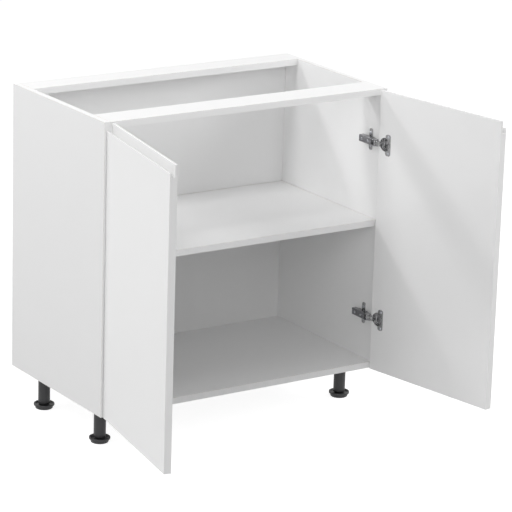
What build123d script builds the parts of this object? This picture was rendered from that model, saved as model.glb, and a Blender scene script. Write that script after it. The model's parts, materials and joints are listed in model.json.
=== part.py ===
from build123d import *
import os
from math import atan2, cos, degrees, hypot, pi, radians, sin

# Sink base cabinet: white board carcass with an open top between two rails, one shelf,
# two handleless doors with a J-shaped finger groove along their top edge, four concealed
# hinges and four height-adjustable legs.
#
# Millimetres. +Z is up, -Y is the front, +X is the right-hand side seen from the front.
# The origin lies on the floor, in the middle of the space that the cabinet takes up with
# its doors open. The doors are modelled open, as the cabinet is shown.

os.makedirs("parts", exist_ok=True)

# ---------------------------------------------------------------- carcass
CABINET_WIDTH = 800.0
CARCASS_DEPTH = 442.0
CARCASS_HEIGHT = 720.0
BOARD = 16.0
FRONT_RAIL_DEPTH = 80.0
BACK_RAIL_DEPTH = 72.0
BACK_PANEL_THICKNESS = 3.0
BACK_PANEL_INSET = 14.0
GROOVE_DEPTH = 7.0
SHELF_TOP_ABOVE_CARCASS_BOTTOM = 386.0
SHELF_SETBACK = 4.0
EDGE_RADIUS = 0.6

# ---------------------------------------------------------------- connectors
CAM_RADIUS = 7.5
CAM_DEPTH = 12.0
CAM_FROM_PANEL_END = 24.0
CAM_SLOT_WIDTH = 1.6
CAM_SLOT_DEPTH = 1.5
BOLT_RADIUS = 3.0
BOLT_HEAD_RADIUS = 3.4
BOLT_HEAD_LENGTH = 3.0
BOLT_IN_SIDE = 11.0
DOWEL_RADIUS = 4.0
DOWEL_LENGTH = 30.0
DOWEL_IN_SIDE = 11.0
RAIL_CAM_FROM_EDGE = 22.0
RAIL_DOWEL_FROM_EDGE = 46.0
BOTTOM_CAM_FROM_EDGE = 60.0
BOTTOM_DOWEL_FROM_EDGE = 100.0
SHELF_PIN_RADIUS = 2.5
SHELF_PIN_IN_SIDE = 9.0
SHELF_PIN_HEAD_RADIUS = 4.5
SHELF_PIN_HEAD_LENGTH = 8.0
SHELF_PIN_FLAT_ABOVE_AXIS = 3.4
SHELF_PIN_FROM_EDGE = 70.0

# ---------------------------------------------------------------- doors
DOOR_THICKNESS = 18.0
DOOR_SIDE_REVEAL = 2.0
DOOR_TO_DOOR_GAP = 4.0
DOOR_TOP_REVEAL = 2.0
DOOR_CARCASS_GAP = 2.5
DOOR_EDGE_RADIUS = 1.2
DOOR_OPEN_ANGLE = 100.0
GROOVE_BACK_WALL = 5.8
GROOVE_WIDTH = 8.4
GROOVE_BOTTOM_BELOW_TOP = 31.0
LIP_BELOW_TOP = 18.5
LIP_TOP_RADIUS = 1.6

# ---------------------------------------------------------------- concealed hinges
# Plan positions near a hinge are (inwards from the outer side face, back from the front
# edge of the side panel). Positions in the door are (along the door from its hinge edge,
# into the door from its inner face).
HINGE_FROM_CARCASS_ENDS = 135.0
OPEN_DOOR_CORNER = (22.9, -4.95)
CUP_CENTRE_FROM_EDGE = 21.5
CUP_RADIUS = 17.3
CUP_WALL = 0.9
CUP_FLOOR = 0.8
CUP_DEPTH = 13.0
FLANGE_THICKNESS = 1.0
FLANGE_FROM_EDGE = 23.0
FLANGE_WIDTH = 17.0
FLANGE_HEIGHT = 54.0
FLANGE_CORNER_RADIUS = 6.0
CUP_SCREW_SPACING = 42.0
CUP_SCREW_FROM_CUP_CENTRE = 11.0
CUP_SCREW_RADIUS = 1.8
CUP_SCREW_HEAD_RADIUS = 3.6
CUP_SCREW_HEAD = 1.2
CUP_SCREW_DEPTH = 11.0
NEAR_CUP_PIN = (9.6, 2.6)
DEEP_CUP_PIN = (9.8, 8.8)
CUP_PIN_RADIUS = 1.0
FRONT_ARM_PIN_INWARDS = 25.7
REAR_ARM_PIN = (30.2, 3.7)
ARM_PIN_RADIUS = 1.5
ARM_PIN_PROUD = 0.6
ARM_WIDTH = 17.0
ARM_SHEET = 1.5
ARM_TOP_INWARDS = 34.5
ARM_FOOT_INWARDS = 21.5
ARM_REAR = 64.0
ARM_NOSE_RADIUS = 3.2
ARM_WEB_FRONT = 12.0
LINK_SHEET = 1.6
LINK_SIDE_CLEARANCE = 0.4
OUTER_LINK_KNEE = (25.5, -14.0)
OUTER_LINK_HALF_WIDTH = 2.0
OUTER_LINK_EYE = 2.5
INNER_LINK_KNEE = (27.5, -13.0)
INNER_LINK_HALF_WIDTH = 1.3
INNER_LINK_EYE = 2.6
INNER_LINK_SADDLE = 2.2
INNER_LINK_PIN_PLAY = 0.3
SYSTEM_LINE_FROM_EDGE = 37.0
PLATE_SCREW_SPACING = 32.0
PLATE_SCREW_RADIUS = 2.5
PLATE_SCREW_HEAD_RADIUS = 3.8
PLATE_SCREW_HEAD = 1.4
PLATE_SCREW_DEPTH = 11.0
PLATE_WING_HEIGHT = 54.0
PLATE_WING_WIDTH = 12.0
PLATE_WING_CORNER = 4.0
PLATE_WING_THICKNESS = 2.2
PLATE_BODY_FRONT = 16.0
PLATE_BODY_REAR = 60.0
PLATE_BODY_HEIGHT = 13.4
PLATE_BODY_THICKNESS = 5.0
PLATE_POST_INWARDS = 9.0
PLATE_POST_LENGTH = 10.0
ADJUST_SCREW_RADIUS = 2.4
ADJUST_SCREW_HEAD_RADIUS = 3.2
ADJUST_SCREW_HEAD = 1.2
FRONT_ADJUST_FROM_EDGE = 26.0
REAR_ADJUST_FROM_EDGE = 52.0
RECESS_WIDTH = 1.0
RECESS_DEPTH = 0.7
RECESS_ARM = 1.8

# ---------------------------------------------------------------- legs
LEG_HEIGHT = 96.0
LEG_FROM_SIDE = 48.5
LEG_FROM_FRONT = 86.0
LEG_FROM_BACK = 80.0
SOCKET_PLATE_WIDTH = 56.0
SOCKET_PLATE_THICKNESS = 4.0
SOCKET_PLATE_CORNER = 8.0
SOCKET_SPIGOT_LENGTH = 24.0
SOCKET_SPIGOT_WALL = 2.5
LEG_TUBE_RADIUS = 15.0
LEG_TUBE_WALL = 2.2
LEG_TUBE_END_ABOVE_FLOOR = 11.0
LEG_TUBE_CHAMFER = 2.4
LEG_NECK_LENGTH = 14.0
FOOT_STEM_RADIUS = 9.0
FOOT_STEM_TOP_ABOVE_FLOOR = 54.0
FOOT_PAD_RADIUS = 22.0
FOOT_PAD_HEIGHT = 8.0
FOOT_RIM_RADIUS = 26.0
FOOT_RIM_HEIGHT = 13.0
FOOT_RIM_EDGE = 1.5
FOOT_DISH_RADIUS = 22.5
FOOT_DISH_FLOOR = 9.5
FOOT_BOTTOM_CHAMFER = 1.2
LEG_SCREW_SPACING = 42.0
LEG_SCREW_RADIUS = 1.8
LEG_SCREW_HEAD_RADIUS = 3.6
LEG_SCREW_HEAD = 1.2
LEG_SCREW_DEPTH = 12.0

# ---------------------------------------------------------------- clearances
PANEL_CLEARANCE = 0.1
SHELF_SIDE_CLEARANCE = 1.0
GROOVE_CLEARANCE = 0.2
HOLE_CLEARANCE = 0.1
PIN_CLEARANCE = 0.06
CUP_BORE_CLEARANCE = 0.2
SEAT_CLEARANCE = 0.1
STEM_CLEARANCE = 0.3
HOLE_END_CLEARANCE = 0.5
OVERCUT = 1.0
ON_THE_LINE = 0.01

# ---------------------------------------------------------------- worked-out places
DOOR_WIDTH = (CABINET_WIDTH - DOOR_TO_DOOR_GAP) / 2 - DOOR_SIDE_REVEAL
DOOR_HEIGHT = CARCASS_HEIGHT - DOOR_TOP_REVEAL
OPEN = radians(DOOR_OPEN_ANGLE)
ALONG_OPEN_DOOR = (cos(OPEN), -sin(OPEN))
INTO_OPEN_DOOR = (-sin(OPEN), -cos(OPEN))
DOOR_REACH = -OPEN_DOOR_CORNER[1] - DOOR_WIDTH * ALONG_OPEN_DOOR[1]
FRONT_Y = (DOOR_REACH - CARCASS_DEPTH) / 2
BACK_Y = FRONT_Y + CARCASS_DEPTH
LEFT_X = -CABINET_WIDTH / 2
RIGHT_X = CABINET_WIDTH / 2
CARCASS_BOTTOM = LEG_HEIGHT
CARCASS_TOP = CARCASS_BOTTOM + CARCASS_HEIGHT
INNER_LEFT_X = LEFT_X + BOARD
INNER_RIGHT_X = RIGHT_X - BOARD
BACK_PANEL_FRONT_Y = BACK_Y - BACK_PANEL_INSET - BACK_PANEL_THICKNESS
BACK_PANEL_REAR_Y = BACK_Y - BACK_PANEL_INSET
BACK_GROOVE_Y = (BACK_PANEL_FRONT_Y - GROOVE_CLEARANCE, BACK_PANEL_REAR_Y + GROOVE_CLEARANCE)
SHELF_TOP = CARCASS_BOTTOM + SHELF_TOP_ABOVE_CARCASS_BOTTOM
SHELF_BOTTOM = SHELF_TOP - BOARD
SHELF_PIN_Z = SHELF_BOTTOM - SHELF_PIN_FLAT_ABOVE_AXIS
FRONT_RAIL_BACK_Y = FRONT_Y + FRONT_RAIL_DEPTH
BACK_RAIL_FRONT_Y = BACK_Y - BACK_RAIL_DEPTH
DOOR_BOTTOM = CARCASS_BOTTOM
HINGE_HEIGHTS = {
    "upper": CARCASS_TOP - HINGE_FROM_CARCASS_ENDS,
    "lower": CARCASS_BOTTOM + HINGE_FROM_CARCASS_ENDS,
}
LEG_PLACES = {
    "left_front": (LEFT_X + LEG_FROM_SIDE, FRONT_Y + LEG_FROM_FRONT),
    "right_front": (RIGHT_X - LEG_FROM_SIDE, FRONT_Y + LEG_FROM_FRONT),
    "left_back": (LEFT_X + LEG_FROM_SIDE, BACK_Y - LEG_FROM_BACK),
    "right_back": (RIGHT_X - LEG_FROM_SIDE, BACK_Y - LEG_FROM_BACK),
}
LEG_SCREW_HALF = LEG_SCREW_SPACING / 2
LEG_SCREW_OFFSETS = (
    (-LEG_SCREW_HALF, -LEG_SCREW_HALF),
    (LEG_SCREW_HALF, -LEG_SCREW_HALF),
    (0, LEG_SCREW_HALF),
)
CUP_INNER_RADIUS = CUP_RADIUS - CUP_WALL
ARM_HALF = ARM_WIDTH / 2
OUTER_LINK_Z = ARM_HALF - ARM_SHEET - LINK_SIDE_CLEARANCE
INNER_LINK_Z = OUTER_LINK_Z - LINK_SHEET - LINK_SIDE_CLEARANCE


def open_door_point(along, into):
    """Plan place, near the left side, of a point fixed in the open left door."""
    x = OPEN_DOOR_CORNER[0] + along * ALONG_OPEN_DOOR[0] + into * INTO_OPEN_DOOR[0]
    y = OPEN_DOOR_CORNER[1] + along * ALONG_OPEN_DOOR[1] + into * INTO_OPEN_DOOR[1]
    return x, y


def closed_door_point(along, into):
    """Plan place, near the left side, of a point fixed in the closed left door."""
    return DOOR_SIDE_REVEAL + along, -DOOR_CARCASS_GAP - into


def bearing(start, end):
    """Direction from one plan point to another, in radians."""
    return atan2(end[1] - start[1], end[0] - start[0])


def distance(start, end):
    """Distance between two plan points."""
    return hypot(end[0] - start[0], end[1] - start[1])


def equidistant_point(first, second, x):
    """Point at x that lies as far from one plan point as from the other."""
    middle = ((first[0] + second[0]) / 2, (first[1] + second[1]) / 2)
    step = (second[0] - first[0], second[1] - first[1])
    return x, middle[1] - (x - middle[0]) * step[0] / step[1]


# The front arm pin is as far from the near cup pin with the door open as with it closed,
# so that a stiff outer link joins them in both. The inner link's saddle meets the deep
# cup pin with the door closed.
NEAR_PIN_OPEN = open_door_point(*NEAR_CUP_PIN)
NEAR_PIN_CLOSED = closed_door_point(*NEAR_CUP_PIN)
DEEP_PIN_OPEN = open_door_point(*DEEP_CUP_PIN)
DEEP_PIN_CLOSED = closed_door_point(*DEEP_CUP_PIN)
FRONT_ARM_PIN = equidistant_point(NEAR_PIN_OPEN, NEAR_PIN_CLOSED, FRONT_ARM_PIN_INWARDS)
OUTER_LINK_TURN = bearing(FRONT_ARM_PIN, NEAR_PIN_CLOSED) - bearing(FRONT_ARM_PIN, NEAR_PIN_OPEN)
OUTER_LINK_TURN = (OUTER_LINK_TURN + pi) % (2 * pi) - pi
INNER_LINK_TURN = bearing(REAR_ARM_PIN, DEEP_PIN_CLOSED) - bearing(REAR_ARM_PIN, DEEP_PIN_OPEN)
INNER_LINK_TURN = (INNER_LINK_TURN + pi) % (2 * pi) - pi
SADDLE_REACH = distance(REAR_ARM_PIN, DEEP_PIN_CLOSED)


# ---------------------------------------------------------------- shape helpers
def block(x, y, z):
    """Box between the pairs of limits x, y and z."""
    centre = ((x[0] + x[1]) / 2, (y[0] + y[1]) / 2, (z[0] + z[1]) / 2)
    return Pos(*centre) * Box(x[1] - x[0], y[1] - y[0], z[1] - z[0])


def rod_x(x, y, z, radius):
    """Round bar along X between the limits x."""
    return Pos((x[0] + x[1]) / 2, y, z) * Rot(0, 90, 0) * Cylinder(radius, x[1] - x[0])


def rod_y(x, y, z, radius):
    """Round bar along Y between the limits y."""
    return Pos(x, (y[0] + y[1]) / 2, z) * Rot(90, 0, 0) * Cylinder(radius, y[1] - y[0])


def rod_z(x, y, z, radius):
    """Round bar along Z between the limits z."""
    return Pos(x, y, (z[0] + z[1]) / 2) * Cylinder(radius, z[1] - z[0])


def rounded_edges(solid, axis, radius):
    """Board with the edges along one axis rounded."""
    return fillet(solid.edges().filter_by(axis), radius)


def soften_front(board):
    """Panel with its two long front edges eased, as edge banding leaves them."""
    front = board.edges().group_by(Axis.Y)[0]
    longest = max(edge.length for edge in front)
    return fillet([edge for edge in front if edge.length > longest / 2], EDGE_RADIUS)


def mirrored(solid):
    """The same piece on the right-hand side of the cabinet."""
    return mirror(solid, about=Plane.YZ)


def plan_band(points, half_width, z):
    """Flat bar that follows plan points, with round ends and knees, between limits z."""
    outline = Sketch()
    for start, end in zip(points, points[1:]):
        run = distance(start, end)
        middle = ((start[0] + end[0]) / 2, (start[1] + end[1]) / 2)
        turn = degrees(bearing(start, end))
        outline += Pos(*middle) * Rot(0, 0, turn) * Rectangle(run, 2 * half_width)
    for point in points:
        outline += Pos(*point) * Circle(half_width)
    return Pos(0, 0, z[0]) * extrude(outline, z[1] - z[0])


def sheet_pair(build, inner_z):
    """Two like sheets, one each side of the hinge's middle plane."""
    upper = build((inner_z - LINK_SHEET, inner_z))
    lower = build((-inner_z, LINK_SHEET - inner_z))
    return upper, lower


def place_left(solid, height):
    """Piece drawn in plan places near the left side, moved to its hinge height."""
    return Pos(LEFT_X, FRONT_Y, height) * solid


def place_in_open_door(solid):
    """Piece drawn with the door shut at the origin, swung open and put at its place."""
    corner = (LEFT_X + OPEN_DOOR_CORNER[0], FRONT_Y + OPEN_DOOR_CORNER[1], 0)
    return Pos(*corner) * Rot(0, 0, -DOOR_OPEN_ANGLE) * solid


# ---------------------------------------------------------------- connector places
def rail_joints():
    """Cam and dowel places of both rails: (y of the cam, y of the dowel, middle z)."""
    middle = CARCASS_TOP - BOARD / 2
    return [
        (FRONT_Y + RAIL_CAM_FROM_EDGE, FRONT_Y + RAIL_DOWEL_FROM_EDGE, middle),
        (BACK_RAIL_FRONT_Y + RAIL_CAM_FROM_EDGE, BACK_RAIL_FRONT_Y + RAIL_DOWEL_FROM_EDGE, middle),
    ]


def bottom_joints():
    """Cam and dowel places of the bottom panel."""
    middle = CARCASS_BOTTOM + BOARD / 2
    rear_edge = BACK_PANEL_FRONT_Y
    return [
        (FRONT_Y + BOTTOM_CAM_FROM_EDGE, FRONT_Y + BOTTOM_DOWEL_FROM_EDGE, middle),
        (rear_edge - BOTTOM_CAM_FROM_EDGE, rear_edge - BOTTOM_DOWEL_FROM_EDGE, middle),
    ]


def panel_joints():
    """All cam and dowel places at one end of the horizontal panels."""
    return rail_joints() + bottom_joints()


def drill_panel_end(panel, joints):
    """Cut the cam bores, bolt bores and dowel bores into both ends of a panel."""
    for cam_y, dowel_y, z in joints:
        for end, inwards in ((INNER_LEFT_X, 1), (INNER_RIGHT_X, -1)):
            cam_x = end + inwards * CAM_FROM_PANEL_END
            underside = z - BOARD / 2
            bore_top = underside + CAM_DEPTH + SEAT_CLEARANCE
            panel -= rod_z(cam_x, cam_y, (underside - OVERCUT, bore_top), CAM_RADIUS + HOLE_CLEARANCE)
            bolt_run = sorted((end - inwards, cam_x))
            panel -= rod_x(bolt_run, cam_y, z, BOLT_HEAD_RADIUS + HOLE_CLEARANCE)
            dowel_end = end + inwards * (DOWEL_LENGTH - DOWEL_IN_SIDE + HOLE_END_CLEARANCE)
            dowel_run = sorted((end - inwards, dowel_end))
            panel -= rod_x(dowel_run, dowel_y, z, DOWEL_RADIUS + HOLE_CLEARANCE)
    return panel


# ---------------------------------------------------------------- carcass pieces
def left_side_panel():
    """Left side: back groove, blind bores for bolts, dowels, shelf pins and hinge plates."""
    height = (CARCASS_BOTTOM, CARCASS_TOP)
    panel = soften_front(block((LEFT_X, INNER_LEFT_X), (FRONT_Y, BACK_Y), height))
    groove_z = (CARCASS_BOTTOM + BOARD - GROOVE_DEPTH, CARCASS_TOP - BOARD + GROOVE_DEPTH)
    panel -= block((INNER_LEFT_X - GROOVE_DEPTH, INNER_LEFT_X + OVERCUT), BACK_GROOVE_Y, groove_z)
    for cam_y, dowel_y, z in panel_joints():
        bolt_x = (INNER_LEFT_X - BOLT_IN_SIDE - HOLE_END_CLEARANCE, INNER_LEFT_X + OVERCUT)
        dowel_x = (INNER_LEFT_X - DOWEL_IN_SIDE - HOLE_END_CLEARANCE, INNER_LEFT_X + OVERCUT)
        panel -= rod_x(bolt_x, cam_y, z, BOLT_RADIUS + HOLE_CLEARANCE)
        panel -= rod_x(dowel_x, dowel_y, z, DOWEL_RADIUS + HOLE_CLEARANCE)
    pin_x = (INNER_LEFT_X - SHELF_PIN_IN_SIDE - HOLE_END_CLEARANCE, INNER_LEFT_X + OVERCUT)
    for y in (FRONT_Y + SHELF_PIN_FROM_EDGE, BACK_PANEL_FRONT_Y - SHELF_PIN_FROM_EDGE):
        panel -= rod_x(pin_x, y, SHELF_PIN_Z, SHELF_PIN_RADIUS + HOLE_CLEARANCE)
    screw_x = (INNER_LEFT_X - PLATE_SCREW_DEPTH - HOLE_END_CLEARANCE, INNER_LEFT_X + OVERCUT)
    screw_y = FRONT_Y + SYSTEM_LINE_FROM_EDGE
    for hinge_z in HINGE_HEIGHTS.values():
        for offset in (-PLATE_SCREW_SPACING / 2, PLATE_SCREW_SPACING / 2):
            panel -= rod_x(screw_x, screw_y, hinge_z + offset, PLATE_SCREW_RADIUS + HOLE_CLEARANCE)
    return panel


def bottom_panel():
    """Bottom: front edge flush with the sides, groove for the back, pilots for the legs."""
    width = (INNER_LEFT_X + PANEL_CLEARANCE, INNER_RIGHT_X - PANEL_CLEARANCE)
    height = (CARCASS_BOTTOM, CARCASS_BOTTOM + BOARD)
    panel = soften_front(block(width, (FRONT_Y, BACK_Y), height))
    panel -= block((LEFT_X, RIGHT_X), BACK_GROOVE_Y, (height[1] - GROOVE_DEPTH, height[1] + OVERCUT))
    panel = drill_panel_end(panel, bottom_joints())
    for x, y in leg_screw_places():
        pilot = (CARCASS_BOTTOM - OVERCUT, CARCASS_BOTTOM + LEG_SCREW_DEPTH + HOLE_END_CLEARANCE)
        panel -= rod_z(x, y, pilot, LEG_SCREW_RADIUS + HOLE_CLEARANCE)
    return panel


def front_rail():
    """Flat rail that closes the front of the top opening."""
    width = (INNER_LEFT_X + PANEL_CLEARANCE, INNER_RIGHT_X - PANEL_CLEARANCE)
    height = (CARCASS_TOP - BOARD, CARCASS_TOP)
    rail = soften_front(block(width, (FRONT_Y, FRONT_RAIL_BACK_Y), height))
    return drill_panel_end(rail, rail_joints()[:1])


def back_rail():
    """Flat rail at the back, grooved from below for the back panel."""
    width = (INNER_LEFT_X + PANEL_CLEARANCE, INNER_RIGHT_X - PANEL_CLEARANCE)
    underside = CARCASS_TOP - BOARD
    rail = soften_front(block(width, (BACK_RAIL_FRONT_Y, BACK_Y), (underside, CARCASS_TOP)))
    rail -= block((LEFT_X, RIGHT_X), BACK_GROOVE_Y, (underside - OVERCUT, underside + GROOVE_DEPTH))
    return drill_panel_end(rail, rail_joints()[1:])


def back_panel():
    """Thin back, held in the grooves of the sides, the bottom and the back rail."""
    side = GROOVE_DEPTH - GROOVE_CLEARANCE
    width = (INNER_LEFT_X - side, INNER_RIGHT_X + side)
    depth = (BACK_PANEL_FRONT_Y, BACK_PANEL_REAR_Y)
    return block(width, depth, (CARCASS_BOTTOM + BOARD - side, CARCASS_TOP - BOARD + side))


def shelf():
    """Loose shelf on four pins, its front edge just behind the sides' front edges."""
    width = (INNER_LEFT_X + SHELF_SIDE_CLEARANCE, INNER_RIGHT_X - SHELF_SIDE_CLEARANCE)
    depth = (FRONT_Y + SHELF_SETBACK, BACK_PANEL_FRONT_Y - SHELF_SIDE_CLEARANCE)
    return soften_front(block(width, depth, (SHELF_BOTTOM, SHELF_TOP)))


def shelf_pins():
    """Four pins, each with a flat on its head where the shelf rests."""
    pins = []
    for y in (FRONT_Y + SHELF_PIN_FROM_EDGE, BACK_PANEL_FRONT_Y - SHELF_PIN_FROM_EDGE):
        head_x = (INNER_LEFT_X + SEAT_CLEARANCE, INNER_LEFT_X + SEAT_CLEARANCE + SHELF_PIN_HEAD_LENGTH)
        shank_x = (INNER_LEFT_X - SHELF_PIN_IN_SIDE, head_x[1])
        shank = rod_x(shank_x, y, SHELF_PIN_Z, SHELF_PIN_RADIUS)
        head = rod_x(head_x, y, SHELF_PIN_Z, SHELF_PIN_HEAD_RADIUS)
        above = (y - SHELF_PIN_HEAD_RADIUS, y + SHELF_PIN_HEAD_RADIUS)
        pin = shank + head
        pin -= block((INNER_LEFT_X, head_x[1] + OVERCUT), above, (SHELF_BOTTOM, SHELF_TOP))
        pins.append(pin)
    return pins + [mirrored(pin) for pin in pins]


def cam_housings():
    """Round cams in the undersides of the rails and the bottom, each with a driver slot."""
    cams = []
    for cam_y, _, z in panel_joints():
        x = INNER_LEFT_X + CAM_FROM_PANEL_END
        underside = z - BOARD / 2
        cam = rod_z(x, cam_y, (underside, underside + CAM_DEPTH), CAM_RADIUS)
        slot_y = (cam_y - CAM_SLOT_WIDTH / 2, cam_y + CAM_SLOT_WIDTH / 2)
        slot_x = (x - CAM_RADIUS + CAM_SLOT_DEPTH, x + CAM_RADIUS - CAM_SLOT_DEPTH)
        cam -= block(slot_x, slot_y, (underside - OVERCUT, underside + CAM_SLOT_DEPTH))
        cam -= rod_x((x - 2 * CAM_RADIUS, x), cam_y, z, BOLT_HEAD_RADIUS + HOLE_CLEARANCE)
        cams.append(cam)
    return cams + [mirrored(cam) for cam in cams]


def cam_bolts():
    """Bolts fixed in the sides, each with a head caught by its cam."""
    bolts = []
    for cam_y, _, z in panel_joints():
        tip = INNER_LEFT_X + CAM_FROM_PANEL_END - SEAT_CLEARANCE
        shank = rod_x((INNER_LEFT_X - BOLT_IN_SIDE, tip), cam_y, z, BOLT_RADIUS)
        head = rod_x((tip - BOLT_HEAD_LENGTH, tip), cam_y, z, BOLT_HEAD_RADIUS)
        bolts.append(shank + head)
    return bolts + [mirrored(bolt) for bolt in bolts]


def wood_dowels():
    """Plain dowels beside the cams, which locate the panels."""
    dowels = []
    for _, dowel_y, z in panel_joints():
        start = INNER_LEFT_X - DOWEL_IN_SIDE
        dowels.append(rod_x((start, start + DOWEL_LENGTH), dowel_y, z, DOWEL_RADIUS))
    return dowels + [mirrored(dowel) for dowel in dowels]


# ---------------------------------------------------------------- doors
def door_profile():
    """Section of the door across its width: a board whose top edge is a J-shaped groove."""
    lip_inner = GROOVE_BACK_WALL + GROOVE_WIDTH
    lip_top = DOOR_HEIGHT - LIP_BELOW_TOP
    groove_round = GROOVE_WIDTH / 2
    round_centre = DOOR_HEIGHT - GROOVE_BOTTOM_BELOW_TOP + groove_round
    outline = Polyline(
        (0, 0),
        (DOOR_THICKNESS, 0),
        (DOOR_THICKNESS, lip_top),
        (lip_inner, lip_top),
        (lip_inner, round_centre),
    )
    outline += ThreePointArc(
        (lip_inner, round_centre),
        (GROOVE_BACK_WALL + groove_round, round_centre - groove_round),
        (GROOVE_BACK_WALL, round_centre),
    )
    outline += Polyline(
        (GROOVE_BACK_WALL, round_centre),
        (GROOVE_BACK_WALL, DOOR_HEIGHT),
        (0, DOOR_HEIGHT),
        (0, 0),
    )
    section = make_face(outline)
    lip_corners = [v for v in section.vertices() if abs(v.Y - lip_top) < ON_THE_LINE]
    return fillet(lip_corners, LIP_TOP_RADIUS)


def left_door():
    """Left door, open: J groove along the top, two cup bores and the cup screw pilots."""
    section = Plane(origin=(0, 0, DOOR_BOTTOM), x_dir=(0, -1, 0), z_dir=(-1, 0, 0)) * door_profile()
    door = extrude(section, DOOR_WIDTH, dir=(1, 0, 0))
    ends = door.edges().filter_by(Axis.Z)
    corners = [e for e in ends if min(-e.center().Y, DOOR_THICKNESS + e.center().Y) < ON_THE_LINE]
    door = fillet(corners, DOOR_EDGE_RADIUS)
    for height in HINGE_HEIGHTS.values():
        bore = (-CUP_DEPTH - CUP_BORE_CLEARANCE, OVERCUT)
        door -= rod_y(CUP_CENTRE_FROM_EDGE, bore, height, CUP_RADIUS + CUP_BORE_CLEARANCE)
        for offset in (-CUP_SCREW_SPACING / 2, CUP_SCREW_SPACING / 2):
            x = CUP_CENTRE_FROM_EDGE + CUP_SCREW_FROM_CUP_CENTRE
            pilot = (-CUP_SCREW_DEPTH - HOLE_END_CLEARANCE, OVERCUT)
            door -= rod_y(x, pilot, height + offset, CUP_SCREW_RADIUS + HOLE_CLEARANCE)
    return place_in_open_door(door)


# ---------------------------------------------------------------- hinge pieces
def hinge_cup(height):
    """Pressed cup sunk in the door, with a flange plate whose ears take the screws."""
    centre = CUP_CENTRE_FROM_EDGE
    bowl = rod_y(centre, (-CUP_DEPTH, 0), height, CUP_RADIUS)
    bowl -= rod_y(centre, (CUP_FLOOR - CUP_DEPTH, OVERCUT), height, CUP_INNER_RADIUS)
    flange_x = (FLANGE_FROM_EDGE, FLANGE_FROM_EDGE + FLANGE_WIDTH)
    flange_z = (height - FLANGE_HEIGHT / 2, height + FLANGE_HEIGHT / 2)
    flange = block(flange_x, (0, FLANGE_THICKNESS), flange_z)
    flange = rounded_edges(flange, Axis.Y, FLANGE_CORNER_RADIUS)
    flange -= rod_y(centre, (-OVERCUT, FLANGE_THICKNESS + OVERCUT), height, CUP_INNER_RADIUS)
    for offset in (-CUP_SCREW_SPACING / 2, CUP_SCREW_SPACING / 2):
        x = centre + CUP_SCREW_FROM_CUP_CENTRE
        through = (-OVERCUT, FLANGE_THICKNESS + OVERCUT)
        flange -= rod_y(x, through, height + offset, CUP_SCREW_RADIUS + HOLE_CLEARANCE)
    return place_in_open_door(bowl + flange)


def cup_pins(height):
    """Pins across the cup: two short ones for the outer link and a long one behind them."""
    inside = rod_y(CUP_CENTRE_FROM_EDGE, (-CUP_DEPTH, 0), height, CUP_INNER_RADIUS - SEAT_CLEARANCE)
    deep_z = (height - CUP_RADIUS, height + CUP_RADIUS)
    deep = rod_z(DEEP_CUP_PIN[0], -DEEP_CUP_PIN[1], deep_z, CUP_PIN_RADIUS) & inside
    stub_start = INNER_LINK_Z + LINK_SIDE_CLEARANCE / 2
    pins = [deep]
    upper_stub = (height + stub_start, height + CUP_RADIUS)
    lower_stub = (height - CUP_RADIUS, height - stub_start)
    for stub_z in (upper_stub, lower_stub):
        pins.append(rod_z(NEAR_CUP_PIN[0], -NEAR_CUP_PIN[1], stub_z, CUP_PIN_RADIUS) & inside)
    return [place_in_open_door(pin) for pin in pins]


def cup_screws(height):
    """Two screws through the flange into the door."""
    screws = []
    for offset in (-CUP_SCREW_SPACING / 2, CUP_SCREW_SPACING / 2):
        x = CUP_CENTRE_FROM_EDGE + CUP_SCREW_FROM_CUP_CENTRE
        seat = FLANGE_THICKNESS + SEAT_CLEARANCE
        head_top = seat + CUP_SCREW_HEAD
        head = rod_y(x, (seat, head_top), height + offset, CUP_SCREW_HEAD_RADIUS)
        shank = rod_y(x, (-CUP_SCREW_DEPTH, seat), height + offset, CUP_SCREW_RADIUS)
        top = (head_top - RECESS_DEPTH, head_top + OVERCUT)
        screw = head + shank - cross_recess_y(x, top, height + offset)
        screws.append(place_in_open_door(screw))
    return screws


def cross_recess_y(x, y, z):
    """Cross-shaped driver recess that opens along Y."""
    arm = RECESS_ARM
    upright = block((x - RECESS_WIDTH / 2, x + RECESS_WIDTH / 2), y, (z - arm, z + arm))
    return upright + block((x - arm, x + arm), y, (z - RECESS_WIDTH / 2, z + RECESS_WIDTH / 2))


def cross_recess_x(x, y, z):
    """Cross-shaped driver recess that opens along X."""
    arm = RECESS_ARM
    upright = block(x, (y - RECESS_WIDTH / 2, y + RECESS_WIDTH / 2), (z - arm, z + arm))
    return upright + block(x, (y - arm, y + arm), (z - RECESS_WIDTH / 2, z + RECESS_WIDTH / 2))


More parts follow.
